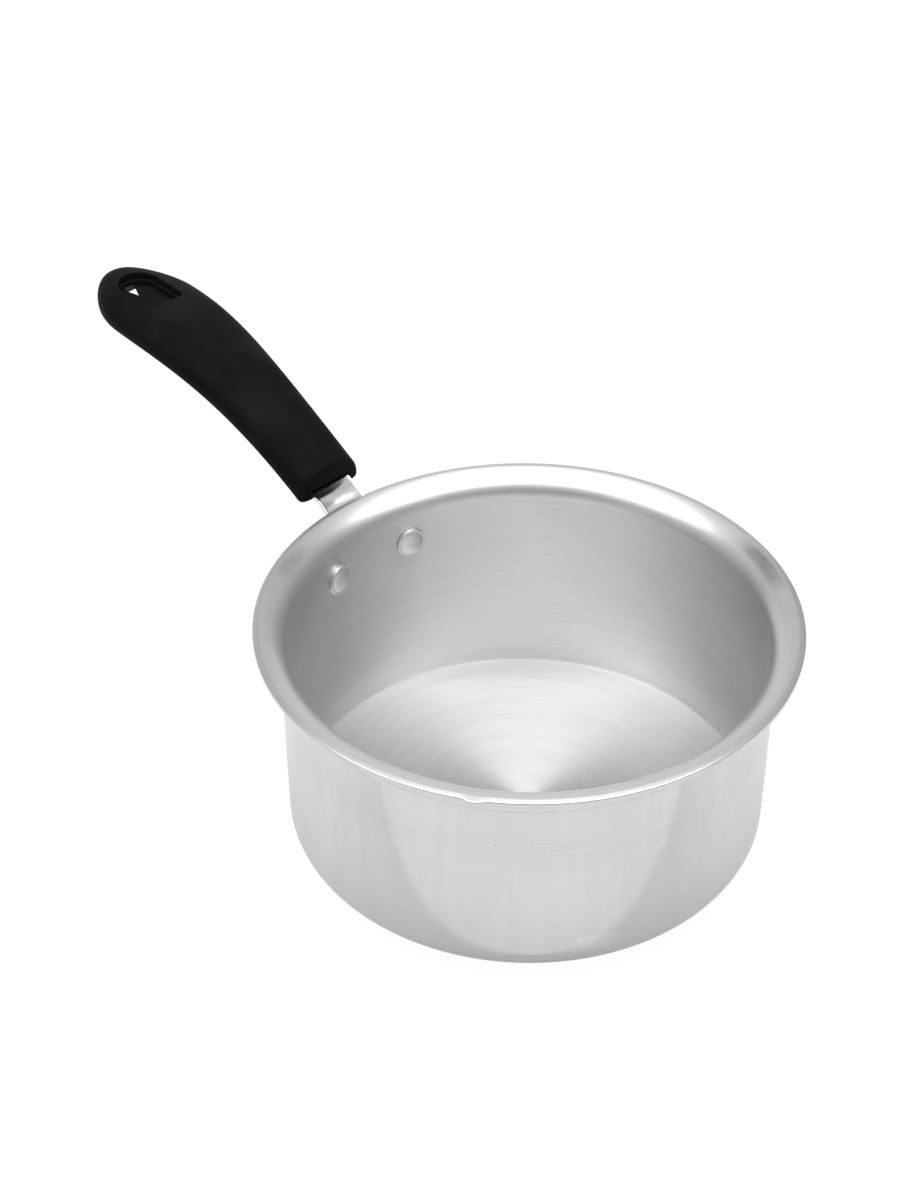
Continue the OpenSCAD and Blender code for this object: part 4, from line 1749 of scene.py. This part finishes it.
@dataclass(frozen=True)
class Viewpoint:
    """The camera of the photograph, in metres and degrees."""

    place: tuple[float, float, float] = (-0.49950, 0.48264, 0.62278)
    heading: float = 41.9
    tilt: float = 37.49
    roll: float = 0.05
    lens: float = 81.0
    sensor: float = 36.0

    def axes(self) -> tuple[Vector, Vector, Vector]:
        """Right, up and forward of the camera before its small roll."""
        heading, tilt = math.radians(-self.heading), math.radians(self.tilt)
        level = math.cos(tilt)
        forward = Vector((math.cos(heading) * level, math.sin(heading) * level, -math.sin(tilt)))
        right = forward.cross(Vector((0.0, 0.0, 1.0))).normalized()
        return right, right.cross(forward), forward

    def plan_axes(self) -> tuple[Vector, Vector]:
        """Level directions to the camera's right and away from it."""
        right, _, forward = self.axes()
        return right, Vector((forward.x, forward.y, 0.0)).normalized()

    def make(self) -> None:
        """Makes the camera and gives it to the scene."""
        right, up, forward = self.axes()
        roll = math.radians(self.roll)
        turned_right = right * math.cos(roll) - up * math.sin(roll)
        turned_up = up * math.cos(roll) + right * math.sin(roll)
        data = bpy.data.cameras.new("photo_camera")
        data.sensor_width = self.sensor
        data.lens = self.lens
        data.clip_start, data.clip_end = 0.05, 50.0
        camera = bpy.data.objects.new("photo_camera", data)
        rows = Matrix((turned_right, turned_up, -forward)).transposed()
        camera.matrix_world = Matrix.Translation(self.place) @ rows.to_4x4()
        bpy.context.scene.collection.objects.link(camera)
        bpy.context.scene.camera = camera


@dataclass(frozen=True)
class Softbox:
    """A flat soft lamp, placed in the camera's level directions."""

    name: str
    right: float
    away: float
    up: float
    width: float
    depth: float
    radiance: float
    facing: Facing = Facing.DOWN

    def make(self, view: Viewpoint) -> None:
        """Makes the lamp, with its width level.

        A lamp of area A that has the radiance L sends out the power pi * L * A.
        """
        across, level = view.plan_axes()
        place = across * self.right + level * self.away + Vector((0.0, 0.0, self.up))
        right, away, up = self.facing.value
        back = across * right + level * away + Vector((0.0, 0.0, up))
        side = level if right else across
        rows = Matrix((side, back.cross(side), back)).transposed()
        data = bpy.data.lights.new(self.name, "AREA")
        data.shape = "RECTANGLE"
        data.size, data.size_y = self.width, self.depth
        data.energy = math.pi * self.radiance * self.width * self.depth
        lamp = bpy.data.objects.new(self.name, data)
        lamp.matrix_world = Matrix.Translation(place) @ rows.to_4x4()
        bpy.context.scene.collection.objects.link(lamp)


@dataclass(frozen=True)
class Studio:
    """Pale floor, even surrounding light and soft lamps."""

    view: Viewpoint
    surround: float = 0.25
    floor_size: float = 8.0
    floor_colour: Colour = (0.86, 0.86, 0.86)
    # Colour of the painted shade that reflections see on the table
    shaded_colour: Colour = (0.60, 0.60, 0.60)
    sheet_edge: float = 0.0872
    sheet_soft: float = 0.003
    fade_reach: float = 0.05
    fade_share: float = 0.40
    contact_shadow_r: tuple[float, float] = (0.080, 0.100)
    contact_shadow_share: float = 0.28
    camera_share: float = 0.9
    camera_light: float = 1.06
    mirror_share: float = 0.6
    mirror_light: float = 0.895
    lamps: tuple[Softbox, ...] = (
        Softbox("overhead_box", -0.06, 0.0, 1.5, 2.2, 0.74, 4.7),
        Softbox("front_top_box", 0.0, -0.735, 1.5, 2.2, 0.73, 0.25),
        Softbox("back_top_box", 0.0, 0.735, 1.5, 2.2, 0.73, 0.34),
        Softbox("left_box", -1.1, 0.0, 1.06, 2.2, 0.88, 0.18, Facing.RIGHT),
        Softbox("left_low_box", -1.1, 0.0, 0.33, 2.2, 0.58, 0.10, Facing.RIGHT),
        Softbox("right_box", 1.1, 0.0, 1.06, 2.2, 0.88, 0.13, Facing.LEFT),
        Softbox("back_left_box", -0.55, 1.1, 1.06, 1.1, 0.88, 0.26, Facing.FRONT),
        Softbox("back_right_box", 0.55, 1.1, 1.06, 1.1, 0.88, 0.20, Facing.FRONT),
        Softbox("back_low_box", -0.325, 1.1, 0.33, 1.55, 0.58, 0.42, Facing.FRONT),
    )

    def floor(self) -> None:
        """Makes the table: matte and pale, nearly white to the camera and evenly lit in reflections.

        Reflections see painted shade on it: a little darker behind the edge of its front sheet, which
        lies square to the view at the distance sheet_edge in front of the pan's axis, and a painted
        contact shadow round the pan's foot.
        """
        half = self.floor_size / 2.0
        mesh = bpy.data.meshes.new("table")
        corners = [(-half, -half, 0), (half, -half, 0), (half, half, 0), (-half, half, 0)]
        mesh.from_pydata(corners, [], [(0, 1, 2, 3)])
        table = bpy.data.objects.new("table", mesh)
        bpy.context.scene.collection.objects.link(table)
        write = MaterialWriter("pale_table")
        path = write.add("ShaderNodeLightPath")
        seen, mirrored = path.outputs["Is Camera Ray"], path.outputs["Is Glossy Ray"]
        shade = write.product(self.shade(write), mirrored)
        write.set(Base_Color=write.blend(shade, self.floor_colour, self.shaded_colour), Roughness=0.9)
        write.shader.inputs["Specular IOR Level"].default_value = 0.1
        glow = write.add("ShaderNodeEmission")
        write.fill(glow.inputs["Color"], write.blend(shade, (1.0, 1.0, 1.0), self.shaded_colour))
        write.fill(
            glow.inputs["Strength"], write.weighed(seen, self.camera_light, mirrored, self.mirror_light))
        share = write.weighed(seen, self.camera_share, mirrored, self.mirror_share)
        mix = write.add("ShaderNodeMixShader", None, s0=share, s1=write.shader.outputs[0], s2=glow.outputs[0])
        write.fill(write.tree.nodes["Material Output"].inputs["Surface"], mix.outputs[0])
        table.data.materials.append(write.material)

    def shade(self, write: MaterialWriter) -> bpy.types.NodeSocket:
        """Share of the table's shaded tone: 0 on the front sheet, most at its edge and the pan's foot.

        Args:
            write: Writer of the table's material.

        Returns:
            The share.
        """
        _, level = self.view.plan_axes()
        x, y, _ = write.split(write.place())
        away = write.weighed(x, level.x, y, level.y)
        edge = -self.sheet_edge
        behind = write.spread(away, edge - self.sheet_soft, edge)
        # Painted shade behind the sheet's edge, fading out over fade_reach
        fading_shade = write.spread(away, edge, edge + self.fade_reach, to_low=self.fade_share, to_high=0.0)
        # Painted contact shadow round the pan's foot
        contact_shadow = write.spread(write.reach(x, y), *self.contact_shadow_r, to_low=self.contact_shadow_share, to_high=0.0)
        return write.product(write.math("ADD", fading_shade, contact_shadow), behind)

    def world(self) -> None:
        """Sets the surroundings: white to the camera, soft grey light to everything else."""
        world = bpy.data.worlds.new("studio")
        bpy.context.scene.world = world
        world.use_nodes = True
        write = NodeWriter(world.node_tree)
        ground = world.node_tree.nodes["Background"]
        path = write.add("ShaderNodeLightPath")
        strength = write.spread(path.outputs["Is Camera Ray"], 0.0, 1.0, to_low=self.surround)
        ground.inputs[0].default_value = (1.0, 1.0, 1.0, 1.0)
        write.fill(ground.inputs[1], strength)

    def make(self) -> None:
        """Makes the floor, the surroundings and the lamps."""
        self.floor()
        self.world()
        for lamp in self.lamps:
            lamp.make(self.view)


def write_sizes() -> None:
    """Updates the view layer; nothing is written."""
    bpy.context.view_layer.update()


def main() -> None:
    """Builds the saucepan piece by piece, then the studio round it."""
    bpy.context.scene.view_settings.view_transform = "Standard"
    view = Viewpoint()
    view.make()
    shaders = Shaders(turned_lines_group(), handling_group(), grain_group())
    course = StrapLine()
    for assembly in (PanShell(), Bracket(course), Rivet(Side.LEFT), Rivet(Side.RIGHT), Grip(course)):
        assembly.build()
        assembly.dress(shaders)
        for piece in assembly.pieces:
            log.info("%s has %d faces", piece.name, len(piece.data.polygons))
    GripScrew().dress(shaders)
    log.info("grip_screw keeps its CAD shape")
    Studio(view).make()
    write_sizes()


if __name__ == "__main__":
    main()
